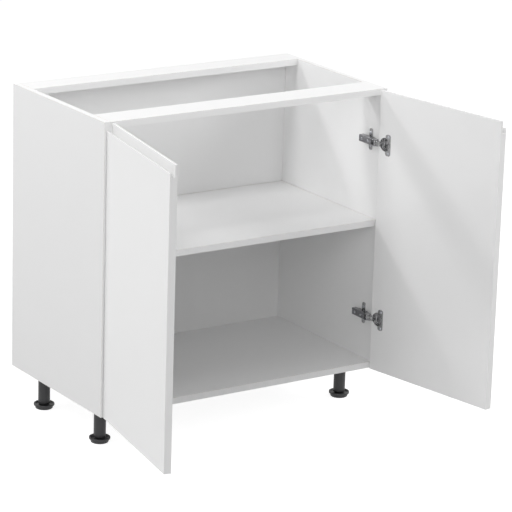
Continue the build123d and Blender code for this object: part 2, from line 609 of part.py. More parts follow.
def mounting_plate(height):
    """Cruciform plate screwed to the side panel, with a raised body that carries the arm."""
    half_wing = PLATE_WING_WIDTH / 2
    wing_y = (SYSTEM_LINE_FROM_EDGE - half_wing, SYSTEM_LINE_FROM_EDGE + half_wing)
    wing_x = (BOARD, BOARD + PLATE_WING_THICKNESS)
    plate = block(wing_x, wing_y, (-PLATE_WING_HEIGHT / 2, PLATE_WING_HEIGHT / 2))
    plate = rounded_edges(plate, Axis.X, PLATE_WING_CORNER)
    body_z = (-PLATE_BODY_HEIGHT / 2, PLATE_BODY_HEIGHT / 2)
    plate += block((BOARD, BOARD + PLATE_BODY_THICKNESS), (PLATE_BODY_FRONT, PLATE_BODY_REAR), body_z)
    for y in (FRONT_ADJUST_FROM_EDGE, REAR_ADJUST_FROM_EDGE):
        post_y = (y - PLATE_POST_LENGTH / 2, y + PLATE_POST_LENGTH / 2)
        plate += block((BOARD, BOARD + PLATE_POST_INWARDS), post_y, body_z)
        hole = (BOARD + PLATE_BODY_THICKNESS, BOARD + PLATE_POST_INWARDS + OVERCUT)
        plate -= rod_x(hole, y, 0, ADJUST_SCREW_RADIUS + HOLE_CLEARANCE)
    for offset in (-PLATE_SCREW_SPACING / 2, PLATE_SCREW_SPACING / 2):
        hole = (BOARD - OVERCUT, BOARD + PLATE_WING_THICKNESS + OVERCUT)
        plate -= rod_x(hole, SYSTEM_LINE_FROM_EDGE, offset, PLATE_SCREW_RADIUS + HOLE_CLEARANCE)
    return place_left(plate, height)


def plate_screws(height):
    """Two screws that hold the mounting plate to the side panel."""
    screws = []
    for offset in (-PLATE_SCREW_SPACING / 2, PLATE_SCREW_SPACING / 2):
        seat = BOARD + PLATE_WING_THICKNESS + SEAT_CLEARANCE
        shank_x = (BOARD - PLATE_SCREW_DEPTH, seat)
        shank = rod_x(shank_x, SYSTEM_LINE_FROM_EDGE, offset, PLATE_SCREW_RADIUS)
        head_x = (seat, seat + PLATE_SCREW_HEAD)
        head = rod_x(head_x, SYSTEM_LINE_FROM_EDGE, offset, PLATE_SCREW_HEAD_RADIUS)
        top = (head_x[1] - RECESS_DEPTH, head_x[1] + OVERCUT)
        screw = head + shank - cross_recess_x(top, SYSTEM_LINE_FROM_EDGE, offset)
        screws.append(place_left(screw, height))
    return screws


def arm_cheek(z):
    """Side sheet of the arm in plan: a long foot and a nose round the two link pins."""
    foot = Polyline(
        (ARM_FOOT_INWARDS, ARM_WEB_FRONT),
        (ARM_TOP_INWARDS, ARM_WEB_FRONT),
        (ARM_TOP_INWARDS, ARM_REAR),
        (ARM_FOOT_INWARDS, ARM_REAR),
        close=True,
    )
    outline = make_face(foot)
    nose_root = (ARM_TOP_INWARDS - ARM_NOSE_RADIUS, ARM_WEB_FRONT)
    foot_root = (ARM_FOOT_INWARDS + ARM_NOSE_RADIUS, ARM_WEB_FRONT)
    neck = Polyline(foot_root, FRONT_ARM_PIN, REAR_ARM_PIN, nose_root, close=True)
    outline += make_face(neck)
    sheet = Pos(0, 0, z[0]) * extrude(outline, z[1] - z[0])
    sheet += plan_band([foot_root, FRONT_ARM_PIN, REAR_ARM_PIN, nose_root], ARM_NOSE_RADIUS, z)
    for pin in (FRONT_ARM_PIN, REAR_ARM_PIN):
        sheet -= rod_z(*pin, (z[0] - OVERCUT, z[1] + OVERCUT), ARM_PIN_RADIUS + PIN_CLEARANCE)
    return sheet


def hinge_arm(height):
    """Folded steel arm over the mounting plate: two cheeks and a web with two screw holes."""
    arm = arm_cheek((ARM_HALF - ARM_SHEET, ARM_HALF)) + arm_cheek((-ARM_HALF, ARM_SHEET - ARM_HALF))
    web_x = (ARM_TOP_INWARDS - ARM_SHEET, ARM_TOP_INWARDS)
    arm += block(web_x, (ARM_WEB_FRONT, ARM_REAR), (-ARM_HALF, ARM_HALF))
    for y in (FRONT_ADJUST_FROM_EDGE, REAR_ADJUST_FROM_EDGE):
        hole = (ARM_TOP_INWARDS - 2 * ARM_SHEET, ARM_TOP_INWARDS + OVERCUT)
        arm -= rod_x(hole, y, 0, ADJUST_SCREW_RADIUS + HOLE_CLEARANCE)
    return place_left(arm, height)


def arm_pins(height):
    """The two riveted pins in the arm's nose on which the links turn."""
    half = ARM_HALF + ARM_PIN_PROUD
    pins = [rod_z(*pin, (-half, half), ARM_PIN_RADIUS) for pin in (FRONT_ARM_PIN, REAR_ARM_PIN)]
    return [place_left(pin, height) for pin in pins]


def adjust_screws(height):
    """Side and depth adjusting screws, through the web into the plate's posts."""
    screws = []
    for y in (FRONT_ADJUST_FROM_EDGE, REAR_ADJUST_FROM_EDGE):
        seat = ARM_TOP_INWARDS + SEAT_CLEARANCE
        shank_x = (BOARD + PLATE_BODY_THICKNESS + SEAT_CLEARANCE, seat)
        shank = rod_x(shank_x, y, 0, ADJUST_SCREW_RADIUS)
        head = rod_x((seat, seat + ADJUST_SCREW_HEAD), y, 0, ADJUST_SCREW_HEAD_RADIUS)
        recess = (seat + ADJUST_SCREW_HEAD - RECESS_DEPTH, seat + ADJUST_SCREW_HEAD + OVERCUT)
        screws.append(place_left(head + shank - cross_recess_x(recess, y, 0), height))
    return screws


def outer_link(height):
    """Pair of kneed sheets from the front arm pin to the near cup pins."""

    def sheet(z):
        path = [FRONT_ARM_PIN, OUTER_LINK_KNEE, NEAR_PIN_OPEN]
        link = plan_band(path, OUTER_LINK_HALF_WIDTH, z)
        for pin, hole in ((FRONT_ARM_PIN, ARM_PIN_RADIUS), (NEAR_PIN_OPEN, CUP_PIN_RADIUS)):
            link += rod_z(*pin, z, OUTER_LINK_EYE)
            link -= rod_z(*pin, (z[0] - OVERCUT, z[1] + OVERCUT), hole + PIN_CLEARANCE)
        return link

    return [place_left(link, height) for link in sheet_pair(sheet, OUTER_LINK_Z)]


def inner_link(height):
    """Pair of kneed sheets from the rear arm pin to an open saddle on the deep cup pin."""
    turn = bearing(REAR_ARM_PIN, DEEP_PIN_OPEN)
    saddle_x = REAR_ARM_PIN[0] + SADDLE_REACH * cos(turn)
    saddle = (saddle_x, REAR_ARM_PIN[1] + SADDLE_REACH * sin(turn))

    def sheet(z):
        link = plan_band([REAR_ARM_PIN, INNER_LINK_KNEE, saddle], INNER_LINK_HALF_WIDTH, z)
        link += rod_z(*REAR_ARM_PIN, z, INNER_LINK_EYE)
        link += rod_z(*saddle, z, INNER_LINK_SADDLE)
        beyond = Rectangle(2 * INNER_LINK_SADDLE, 4 * INNER_LINK_SADDLE)
        beyond = Rot(0, 0, degrees(turn)) * Pos(INNER_LINK_SADDLE, 0) * beyond
        beyond = Pos(*saddle, z[0] - OVERCUT) * beyond
        link -= extrude(beyond, LINK_SHEET + 2 * OVERCUT, dir=(0, 0, 1))
        link -= rod_z(*saddle, (z[0] - OVERCUT, z[1] + OVERCUT), CUP_PIN_RADIUS + INNER_LINK_PIN_PLAY)
        link -= rod_z(*REAR_ARM_PIN, (z[0] - OVERCUT, z[1] + OVERCUT), ARM_PIN_RADIUS + PIN_CLEARANCE)
        return link

    return [place_left(link, height) for link in sheet_pair(sheet, INNER_LINK_Z)]


# ---------------------------------------------------------------- legs
def leg_screw_places():
    """Plan places of the screws that hold the four leg sockets."""
    return [(x + a, y + b) for x, y in LEG_PLACES.values() for a, b in LEG_SCREW_OFFSETS]


def leg_socket(x, y):
    """Plate under the bottom panel with a hollow spigot that the leg tube pushes onto."""
    top = CARCASS_BOTTOM
    half = SOCKET_PLATE_WIDTH / 2
    plate = block((x - half, x + half), (y - half, y + half), (top - SOCKET_PLATE_THICKNESS, top))
    plate = rounded_edges(plate, Axis.Z, SOCKET_PLATE_CORNER)
    spigot_radius = LEG_TUBE_RADIUS - LEG_TUBE_WALL - HOLE_CLEARANCE
    spigot_z = (top - SOCKET_PLATE_THICKNESS - SOCKET_SPIGOT_LENGTH, top)
    socket = plate + rod_z(x, y, spigot_z, spigot_radius)
    hollow = (spigot_z[0] - OVERCUT, top - SOCKET_PLATE_THICKNESS)
    socket -= rod_z(x, y, hollow, spigot_radius - SOCKET_SPIGOT_WALL)
    for a, b in LEG_SCREW_OFFSETS:
        hole = (top - SOCKET_PLATE_THICKNESS - OVERCUT, top + OVERCUT)
        socket -= rod_z(x + a, y + b, hole, LEG_SCREW_RADIUS + HOLE_CLEARANCE)
    return socket


def leg_screws():
    """Three screws for each leg socket."""
    screws = []
    for x, y in leg_screw_places():
        seat = CARCASS_BOTTOM - SOCKET_PLATE_THICKNESS - SEAT_CLEARANCE
        head = rod_z(x, y, (seat - LEG_SCREW_HEAD, seat), LEG_SCREW_HEAD_RADIUS)
        screws.append(head + rod_z(x, y, (seat, CARCASS_BOTTOM + LEG_SCREW_DEPTH), LEG_SCREW_RADIUS))
    return screws


def leg_tube(x, y):
    """Round leg, hollow above for the socket and necked below round the foot's stem."""
    top = CARCASS_BOTTOM - SOCKET_PLATE_THICKNESS - SEAT_CLEARANCE
    low = LEG_TUBE_END_ABOVE_FLOOR
    outer = LEG_TUBE_RADIUS
    bore = outer - LEG_TUBE_WALL
    neck = FOOT_STEM_RADIUS + STEM_CLEARANCE
    neck_top = low + LEG_NECK_LENGTH
    section = Polyline(
        (neck, low),
        (outer - LEG_TUBE_CHAMFER, low),
        (outer, low + LEG_TUBE_CHAMFER),
        (outer, top),
        (bore, top),
        (bore, neck_top),
        (neck, neck_top),
        close=True,
    )
    return Pos(x, y, 0) * revolve(Plane.XZ * make_face(section), Axis.Z)


def leg_foot(x, y):
    """Adjustable foot: a stem that screws into the tube, a dished rim and a smaller pad."""
    rim_top = FOOT_RIM_HEIGHT
    section = Polyline(
        (0, 0),
        (FOOT_PAD_RADIUS - FOOT_BOTTOM_CHAMFER, 0),
        (FOOT_PAD_RADIUS, FOOT_BOTTOM_CHAMFER),
        (FOOT_PAD_RADIUS, FOOT_PAD_HEIGHT),
        (FOOT_RIM_RADIUS - FOOT_RIM_EDGE, FOOT_PAD_HEIGHT),
        (FOOT_RIM_RADIUS, FOOT_PAD_HEIGHT + FOOT_RIM_EDGE),
        (FOOT_RIM_RADIUS, rim_top - FOOT_RIM_EDGE),
        (FOOT_RIM_RADIUS - FOOT_RIM_EDGE, rim_top),
        (FOOT_DISH_RADIUS, rim_top),
        (FOOT_DISH_RADIUS - FOOT_RIM_EDGE, FOOT_DISH_FLOOR),
        (FOOT_STEM_RADIUS, FOOT_DISH_FLOOR),
        (FOOT_STEM_RADIUS, FOOT_STEM_TOP_ABOVE_FLOOR),
        (0, FOOT_STEM_TOP_ABOVE_FLOOR),
        close=True,
    )
    return Pos(x, y, 0) * revolve(Plane.XZ * make_face(section), Axis.Z)


# ---------------------------------------------------------------- assembly
def as_list(piece):
    """A piece, or a group of like pieces, as a list of solids."""
    if isinstance(piece, (list, tuple)):
        return [solid for part in piece for solid in as_list(part)]
    return list(piece.solids())


def build_nodes():
    """Every node of the cabinet by name, as a list of solids."""
    nodes = {
        "left_side_panel": left_side_panel(),
        "bottom_panel": bottom_panel(),
        "front_rail": front_rail(),
        "back_rail": back_rail(),
        "back_panel": back_panel(),
        "shelf": shelf(),
        "shelf_pins": shelf_pins(),
        "cam_housings": cam_housings(),
        "cam_bolts": cam_bolts(),
        "wood_dowels": wood_dowels(),
        "leg_socket_screws": leg_screws(),
        "left_door": left_door(),
        "left_cup_pins": [cup_pins(height) for height in HINGE_HEIGHTS.values()],
        "left_cup_screws": [cup_screws(height) for height in HINGE_HEIGHTS.values()],
    }
    nodes["right_side_panel"] = mirrored(nodes["left_side_panel"])
    nodes["right_door"] = mirrored(nodes["left_door"])
    shared = {"hinge_arm_pins": [], "hinge_adjusting_screws": [], "hinge_plate_screws": []}
    for level, height in HINGE_HEIGHTS.items():
        nodes[f"left_{level}_hinge_plate"] = mounting_plate(height)
        nodes[f"left_{level}_hinge_arm"] = hinge_arm(height)
        nodes[f"left_{level}_hinge_cup"] = hinge_cup(height)
        nodes[f"left_{level}_outer_link"] = outer_link(height)
        nodes[f"left_{level}_inner_link"] = inner_link(height)
        for part in ("hinge_plate", "hinge_arm", "hinge_cup", "outer_link", "inner_link"):
            solids = as_list(nodes[f"left_{level}_{part}"])
            nodes[f"right_{level}_{part}"] = [mirrored(solid) for solid in solids]
        shared["hinge_arm_pins"] += arm_pins(height)
        shared["hinge_adjusting_screws"] += adjust_screws(height)
        shared["hinge_plate_screws"] += plate_screws(height)
    for name, solids in shared.items():
        left_solids = as_list(solids)
        nodes[name] = left_solids + [mirrored(solid) for solid in left_solids]
    for name in ("cup_pins", "cup_screws"):
        nodes[f"right_{name}"] = [mirrored(solid) for solid in as_list(nodes[f"left_{name}"])]
    for name, (x, y) in LEG_PLACES.items():
        nodes[f"{name}_leg_socket"] = leg_socket(x, y)
        nodes[f"{name}_leg_tube"] = leg_tube(x, y)
        nodes[f"{name}_leg_foot"] = leg_foot(x, y)
    return {name: as_list(piece) for name, piece in nodes.items()}


NODES = build_nodes()
for node, solids in NODES.items():
    shape = solids[0] if len(solids) == 1 else Compound(children=solids)
    export_step(shape, f"parts/{node}.step")

# Figures that the motion needs: pin places in the cabinet's own frame and the turns of
# the links while the left door goes from open to closed.
print("nodes", len(NODES))
print("front arm pin", LEFT_X + FRONT_ARM_PIN[0], FRONT_Y + FRONT_ARM_PIN[1])
print("rear arm pin", LEFT_X + REAR_ARM_PIN[0], FRONT_Y + REAR_ARM_PIN[1])
print("near cup pin", LEFT_X + NEAR_PIN_OPEN[0], FRONT_Y + NEAR_PIN_OPEN[1])
print("outer link turn", degrees(OUTER_LINK_TURN), "inner link turn", degrees(INNER_LINK_TURN))
print("door turn in the link", DOOR_OPEN_ANGLE - degrees(OUTER_LINK_TURN))
print("front", FRONT_Y, "back", BACK_Y, "top", CARCASS_TOP)
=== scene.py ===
"""Studio dress of a white sink base cabinet that stands with both doors open.

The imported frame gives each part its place. This file models the edge-banded boards, the
doors with their finger grooves, the concealed hinges and the legs as finished pieces, gives
each the material that it is made of, and sets up the floor, the lamps and the camera.
Lengths are metres in the frame's axes. mm() turns the real sizes, in millimetres, to metres.
"""

import json
import logging
import math
from dataclasses import dataclass, field
from enum import Enum
from typing import Any, Callable, Iterable, Sequence

import bmesh
import bpy
from mathutils import Matrix, Vector


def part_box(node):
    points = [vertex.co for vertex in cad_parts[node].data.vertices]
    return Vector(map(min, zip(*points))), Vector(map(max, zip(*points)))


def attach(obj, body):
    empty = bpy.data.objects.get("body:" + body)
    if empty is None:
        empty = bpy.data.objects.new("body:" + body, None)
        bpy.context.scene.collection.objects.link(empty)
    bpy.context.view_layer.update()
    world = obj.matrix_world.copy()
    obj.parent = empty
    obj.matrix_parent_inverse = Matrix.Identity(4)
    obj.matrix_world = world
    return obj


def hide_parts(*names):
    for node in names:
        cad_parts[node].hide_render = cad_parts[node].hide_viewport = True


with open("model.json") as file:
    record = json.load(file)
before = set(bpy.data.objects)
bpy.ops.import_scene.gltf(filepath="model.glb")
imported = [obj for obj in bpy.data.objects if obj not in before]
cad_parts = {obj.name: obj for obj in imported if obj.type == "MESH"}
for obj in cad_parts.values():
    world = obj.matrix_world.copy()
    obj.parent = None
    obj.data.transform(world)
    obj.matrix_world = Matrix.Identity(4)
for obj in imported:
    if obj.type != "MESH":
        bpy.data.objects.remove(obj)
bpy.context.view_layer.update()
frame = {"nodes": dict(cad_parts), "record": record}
LOG = logging.getLogger("cabinet")
MM = 0.001

Mesh = bmesh.types.BMesh
Tree = bpy.types.NodeTree
Socket = bpy.types.NodeSocket
Grain = tuple[Socket, Socket | None, Socket | None]
Point = tuple[float, float, float]
Pair = tuple[float, float]


def mm(value: float) -> float:
    """Length in metres of a value in millimetres."""
    return value * MM


# Vertices nearer than this are one, and a face nearer than this to a board's side is on it.
WELD = mm(0.001)
ON_SIDE = mm(0.02)
ROUND_STEPS = 64
EDGE_STEPS = 8
CORNER_STEPS = 4
SHARP_ANGLE = math.radians(30.0)
# Faces that meet at less than these are one flat face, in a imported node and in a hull.
FLAT_ANGLE = math.radians(0.5)
HULL_ANGLE = 0.001
HERE = Matrix()
Z_TO_X = Matrix.Rotation(math.pi / 2, 4, "Y")
Z_TO_Y = Matrix.Rotation(-math.pi / 2, 4, "X")


def linear_colour(code: str) -> tuple[float, float, float, float]:
    """Linear colour of an sRGB hex code.

    Args:
        code: A # and six hex digits.

    Returns:
        Red, green, blue and an opacity of one.
    """
    channels = [int(code[i : i + 2], 16) / 255 for i in (1, 3, 5)]
    red, green, blue = (c / 12.92 if c <= 0.04045 else ((c + 0.055) / 1.055) ** 2.4 for c in channels)
    return red, green, blue, 1.0


def add_node(
    tree: Tree,
    kind: str,
    settings: dict[str, Any] | None = None,
    inputs: dict[Any, Any] | None = None,
) -> bpy.types.Node:
    """Adds a shader node with its settings and its input values or links.

    Args:
        tree: Tree that gets the node.
        kind: Blender's type name of the node.
        settings: Attributes of the node and their values.
        inputs: Input names or indices, each with a value or with a socket to link from.

    Returns:
        The new node.
    """
    node = tree.nodes.new(kind)
    for key, value in (settings or {}).items():
        setattr(node, key, value)
    for key, value in (inputs or {}).items():
        if isinstance(value, Socket):
            tree.links.new(value, node.inputs[key])
        else:
            node.inputs[key].default_value = value
    return node


# ---- finishes
@dataclass(frozen=True)
class Finish:
    """A material: its name, its plain values, its relief and how far its gloss drifts."""

    name: str
    slot: str
    colour: str
    roughness: float
    metallic: float = 0.0
    depth_mm: float = 0.05
    relief: float = 0.3
    sheen_drift: float = 0.06
    sheen_range: Pair = (0.3, 0.7)

    def material(self) -> bpy.types.Material:
        """The Blender material of this finish, made on first use.

        Returns:
            A node material that every piece of this finish shares.
        """
        found = bpy.data.materials.get(self.name)
        if found is not None:
            return found
        made = bpy.data.materials.new(self.name)
        made.use_nodes = True
        tree = made.node_tree
        tree.nodes.clear()
        place = add_node(tree, "ShaderNodeTexCoord").outputs["Object"]
        height, sheen, colour = self.grain(tree, place)
        relief = {"Height": height, "Distance": mm(self.depth_mm), "Strength": self.relief}
        inputs = {
            "Base Color": linear_colour(self.colour) if colour is None else colour,
            "Roughness": self.roughness,
            "Metallic": self.metallic,
            "Normal": add_node(tree, "ShaderNodeBump", inputs=relief).outputs["Normal"],
        }
        if sheen is not None:
            drift = {
                "Value": sheen,
                "From Min": self.sheen_range[0],
                "From Max": self.sheen_range[1],
                "To Min": self.roughness - self.sheen_drift,
                "To Max": self.roughness + self.sheen_drift,
            }
            inputs["Roughness"] = add_node(tree, "ShaderNodeMapRange", inputs=drift).outputs["Result"]
        shader = add_node(tree, "ShaderNodeBsdfPrincipled", inputs=inputs)
        add_node(tree, "ShaderNodeOutputMaterial", inputs={"Surface": shader.outputs["BSDF"]})
        return made

    def grain(self, tree: Tree, place: Socket) -> Grain:
        """Pattern of the surface, which each kind of finish draws.

        Args:
            tree: Tree of the material.
            place: Socket with the object coordinates.

        Returns:
            What gives the relief's height, the drift of the gloss and the colour. None where even.
        """
        raise NotImplementedError


@dataclass(frozen=True)
class PearlWhite(Finish):
    """White melamine foil, edge band or lacquer, with a fine pearl pressed into it.

    The pearl breaks a highlight into a soft sheen. On the real surface it is about half a
    millimetre across, and it is drawn three to eight times as coarse so that it shows.
    """

    depth_mm: float = 0.03
    sheen_drift: float = 0.04
    sheen_range: Pair = (0.0, 1.0)
    pearl_mm: float = 1.5
    cloud_mm: float = 140.0

    def grain(self, tree: Tree, place: Socket) -> Grain:
        """Fine pearl for the relief, and slow clouds for the sheen."""
        noises = []
        for size, detail in ((self.pearl_mm, 2.0), (self.cloud_mm, 1.0)):
            inputs = {"Vector": place, "Scale": 1 / mm(size), "Detail": detail}
            noises.append(add_node(tree, "ShaderNodeTexNoise", inputs=inputs).outputs["Fac"])
        return *noises, None


@dataclass(frozen=True)
class PressedFibre(Finish):
    """Raw chipboard, hardboard or beech: wood in two browns, matt and a little rough."""

    depth_mm: float = 0.12
    relief: float = 0.5
    dark: str = "#6F5238"
    grain_mm: float = 3.0
    distortion: float = 1.2
    tone_range: Pair = (0.36, 0.62)

    def grain(self, tree: Tree, place: Socket) -> Grain:
        """Mottled fibres or chips in tone and relief."""
        inputs = {"Vector": place, "Scale": 1 / mm(self.grain_mm), "Detail": 5.0}
        inputs["Distortion"] = self.distortion
        fibre = add_node(tree, "ShaderNodeTexNoise", inputs=inputs).outputs["Fac"]
        inputs = {"Value": fibre, "From Min": self.tone_range[0], "From Max": self.tone_range[1]}
        tone = add_node(tree, "ShaderNodeMapRange", inputs=inputs).outputs["Result"]
        browns = {0: tone, 6: linear_colour(self.dark), 7: linear_colour(self.colour)}
        return fibre, None, add_node(tree, "ShaderNodeMix", {"data_type": "RGBA"}, browns).outputs[2]


@dataclass(frozen=True)
class PlatedSteel(Finish):
    """Pressed steel with a thin bright plate of nickel or zinc.

    The rolled sheet's fine lines show through the plate and draw its highlights out. They
    are a few hundredths of a millimetre apart and are drawn at about half a millimetre.
    """

    depth_mm: float = 0.02
    sheen_drift: float = 0.08
    line_mm: float = 0.5
    line_stretch: float = 9.0

    def grain(self, tree: Tree, place: Socket) -> Grain:
        """Rolled lines, in the gloss and in a very shallow relief."""
        inputs = {"Vector": place, "Scale": (1.0, 1.0, self.line_stretch)}
        stretched = add_node(tree, "ShaderNodeMapping", inputs=inputs).outputs["Vector"]
        inputs = {"Vector": stretched, "Scale": 1 / mm(self.line_mm * self.line_stretch)}
        lines = add_node(tree, "ShaderNodeTexNoise", inputs=inputs).outputs["Fac"]
        return lines, lines, None


@dataclass(frozen=True)
class GrainedSkin(Finish):
    """Moulded plastic or die casting: the even, fine grain of the mould it came from.

    The grain is about 0.3 mm and is drawn at 0.9 mm so that it shows.
    """

    relief: float = 0.35
    grain_mm: float = 0.9

    def grain(self, tree: Tree, place: Socket) -> Grain:
        """Mould grain, in relief and with an uneven sheen."""
        inputs = {"Vector": place, "Scale": 1 / mm(self.grain_mm), "Detail": 2.0}
        grain = add_node(tree, "ShaderNodeTexNoise", inputs=inputs).outputs["Fac"]
        return grain, grain, None


BOARD_WHITE = PearlWhite("melamine_faced_board_white", "white_board", "#F0F0F0", 0.42)
BAND_WHITE = PearlWhite("abs_edge_band_white", "white_board", "#F1F1F1", 0.34, pearl_mm=2.5)
DOOR_WHITE = PearlWhite(
    "satin_lacquer_white", "white_door", "#F1F1F1", 0.24, depth_mm=0.01, sheen_drift=0.02, pearl_mm=4.0
)
BACK_WHITE = PearlWhite("lacquered_hardboard_white", "white_hardboard", "#EEEEEE", 0.38, pearl_mm=2.2)
BACK_BROWN = PressedFibre("raw_hardboard_brown", "white_hardboard", "#B8946A", 0.62, dark="#8F6E4A")
CHIPBOARD = PressedFibre(
    "raw_chipboard_edge", "white_board", "#DCC49C", 0.8, depth_mm=0.25, dark="#A88658", grain_mm=2.2
)
NICKEL = PlatedSteel("nickel_plated_steel", "hinge_steel", "#B0B0B1", 0.24, 1.0)
# The arm's plate is the same nickel painted darker. The darker colour is painted shade and painted dark
# reflection, and it sets the arm's channel off against the cup.
ARM_NICKEL_PAINTED_SHADE = PlatedSteel("nickel_plated_steel_painted_shade", "hinge_steel", "#949497", 0.25, 1.0)
ZINC = PlatedSteel("bright_zinc_plated_steel", "zinc_screws", "#B9BBC0", 0.34, 1.0, line_mm=0.4)
ZINC_CAST = GrainedSkin("zinc_die_casting", "zinc_cast", "#A2A5AA", 0.5, 1.0)
BLACK_PLASTIC = GrainedSkin("moulded_abs_black", "black_plastic", "#2A2A2C", 0.42)
BEECH = PressedFibre(
    "turned_beech", "beech", "#D8B78A", 0.6, depth_mm=0.05, dark="#B98F62", grain_mm=1.4, distortion=0.2
)
PLAIN_FINISHES = (BOARD_WHITE, BACK_WHITE, DOOR_WHITE, NICKEL, ZINC, ZINC_CAST, BEECH, BLACK_PLASTIC)


# ---- mesh tools
def add_object(name: str, data: Any) -> bpy.types.Object:
    """Adds an object to the scene.

    Args:
        name: Name of the object.
        data: What it holds: a lamp's or camera's data, or a mesh, which is freed.

    Returns:
        The object.
    """
    if isinstance(data, Mesh):
        shape, data = data, bpy.data.meshes.new(name)
        shape.to_mesh(data)
        shape.free()
    made = bpy.data.objects.new(name, data)
    bpy.context.scene.collection.objects.link(made)
    return made


def slab(low: Sequence[float], high: Sequence[float], along: int = 0, rounding: float = 0.0) -> Mesh:
    """Box between two corners.

    Args:
        low: Its lowest corner.
        high: Its highest corner.
        along: Axis that its rounded edges run along: 0, 1 or 2 for X, Y or Z.
        rounding: Radius of those edges, nought for none.

    Returns:
        The box.
    """
    mesh = bmesh.new()
    lowest, highest = Vector(low), Vector(high)
    size = highest - lowest
    matrix = Matrix.Translation((lowest + highest) / 2) @ Matrix.Diagonal((*size, 1.0))
    bmesh.ops.create_cube(mesh, size=1.0, matrix=matrix)
    if rounding:
        edges = [edge for edge in mesh.edges if edge.verts[0].co[along] != edge.verts[1].co[along]]
        round_off(mesh, edges, rounding, EDGE_STEPS, "EDGES")
    return mesh


def rod(start: Sequence[float], end: Sequence[float], radius: float) -> Mesh:
    """Round bar between two points.

    Args:
        start: Centre of one end.
        end: Centre of the other end.
        radius: The bar's radius.

    Returns:
        The bar.
    """
    mesh = bmesh.new()
    first, last = Vector(start), Vector(end)
    run = last - first
    turn = run.to_track_quat("Z", "Y").to_matrix().to_4x4()
    bmesh.ops.create_cone(
        mesh,
        cap_ends=True,
        segments=ROUND_STEPS,
        radius1=radius,
        radius2=radius,
        depth=run.length,
        matrix=Matrix.Translation((first + last) / 2) @ turn,
    )
    return mesh


def round_off(
    mesh: Mesh, corners: Sequence[Any], radius: float, segments: int, kind: str = "VERTICES"
) -> None:
    """Rounds some corners of a flat outline, or some edges of a solid.

    Args:
        mesh: Mesh to round.
        corners: Its vertices or edges to round.
        radius: Radius of the rounding.
        segments: Steps in the rounding.
        kind: VERTICES or EDGES.
    """
    bmesh.ops.bevel(
        mesh,
        geom=corners,
        offset=radius,
        segments=segments,
        profile=0.5,
        affect=kind,
        material=-1,
        clamp_overlap=True,
    )


def moved(mesh: Mesh, matrix: Matrix) -> Mesh:
    """Moves a mesh, and turns its faces outwards again where that mirrors it.

    Args:
        mesh: Mesh to move.
        matrix: The move.

    Returns:
        The same mesh.
    """
    bmesh.ops.transform(mesh, matrix=matrix, verts=mesh.verts)
    if matrix.determinant() < 0:
        bmesh.ops.recalc_face_normals(mesh, faces=mesh.faces)
    return mesh


def joined(meshes: Iterable[Mesh]) -> Mesh:
    """Joins meshes into one, and frees them.

    Args:
        meshes: The meshes.

    Returns:
        One mesh with the shapes of all.
    """
    together = bmesh.new()
    for mesh in meshes:
        data = bpy.data.meshes.new("passing")
        mesh.to_mesh(data)
        mesh.free()
        together.from_mesh(data)
        bpy.data.meshes.remove(data)
    return together


def turned(outline: Sequence[Pair], rounding: float, steps: int = ROUND_STEPS) -> Mesh:
    """Shape turned about Z from a closed or axis-to-axis outline.

    Args:
        outline: Points of radius and height. Ends that lie on the axis stay open there.
        rounding: Radius of the outline's corners.
        steps: Steps in a full turn.

    Returns:
        The shape.
    """
    mesh = bmesh.new()
    points = [mesh.verts.new((radius, 0.0, height)) for radius, height in outline]
    for pair in zip(points, points[1:]):
        mesh.edges.new(pair)
    if outline[0][0] == 0.0:
        corners = points[1:-1]
    else:
        corners = points
        mesh.edges.new((points[-1], points[0]))
    round_off(mesh, corners, rounding, CORNER_STEPS)
    spin(mesh, mesh.verts[:] + mesh.edges[:], steps, use_merge=True)
    bmesh.ops.remove_doubles(mesh, verts=mesh.verts, dist=WELD)
    bmesh.ops.recalc_face_normals(mesh, faces=mesh.faces)
    return mesh


def spin(mesh: Mesh, geom: Sequence[Any], steps: int, turns: int = 1, **more: Any) -> None:
    """Spins a part of a mesh about Z. More names go to Blender's own spin."""
    turn = {"cent": (0.0, 0.0, 0.0), "axis": (0.0, 0.0, 1.0), "angle": math.tau * turns}
    bmesh.ops.spin(mesh, geom=geom, steps=steps, **turn, **more)


def hull_plate(circles: Sequence[Point], low: float, high: float) -> Mesh:
    """Flat plate whose outline is drawn taut round some circles.

    Args:
        circles: Centre x, centre y and radius of each circle.
        low: Height of the plate's underside.
        high: Height of its top.

    Returns:
        The plate.
    """
    plate = bmesh.new()
    for height in (low, high):
        for x, y, radius in circles:
            spot = Matrix.Translation((x, y, height))
            bmesh.ops.create_circle(plate, segments=ROUND_STEPS, radius=radius, matrix=spot)
    hull = bmesh.ops.convex_hull(plate, input=plate.verts)
    spare = {v for v in hull["geom_interior"] + hull["geom_unused"] if isinstance(v, bmesh.types.BMVert)}
    bmesh.ops.delete(plate, geom=list(spare), context="VERTS")
    bmesh.ops.dissolve_limit(plate, angle_limit=HULL_ANGLE, verts=plate.verts, edges=plate.edges)
    return plate


def extruded(section: Iterable[Point], rounds: Iterable[tuple[slice, float, int]], run: Point) -> Mesh:
    """A bar drawn out of a flat section with some of its corners rounded.

    Args:
        section: Corners of the section, in order.
        rounds: Which corners are rounded, with the radius and the steps of each rounding.
        run: Way and length of the bar.

    Returns:
        The bar.
    """
    mesh = bmesh.new()
    corners = [mesh.verts.new(corner) for corner in section]
    mesh.faces.new(corners)
    for which, radius, steps in rounds:
        round_off(mesh, corners[which], radius, steps)
    ends = bmesh.ops.extrude_face_region(mesh, geom=mesh.faces[:])["geom"]
    far = [item for item in ends if isinstance(item, bmesh.types.BMVert)]
    bmesh.ops.translate(mesh, vec=run, verts=far)
    bmesh.ops.recalc_face_normals(mesh, faces=mesh.faces)
    return mesh


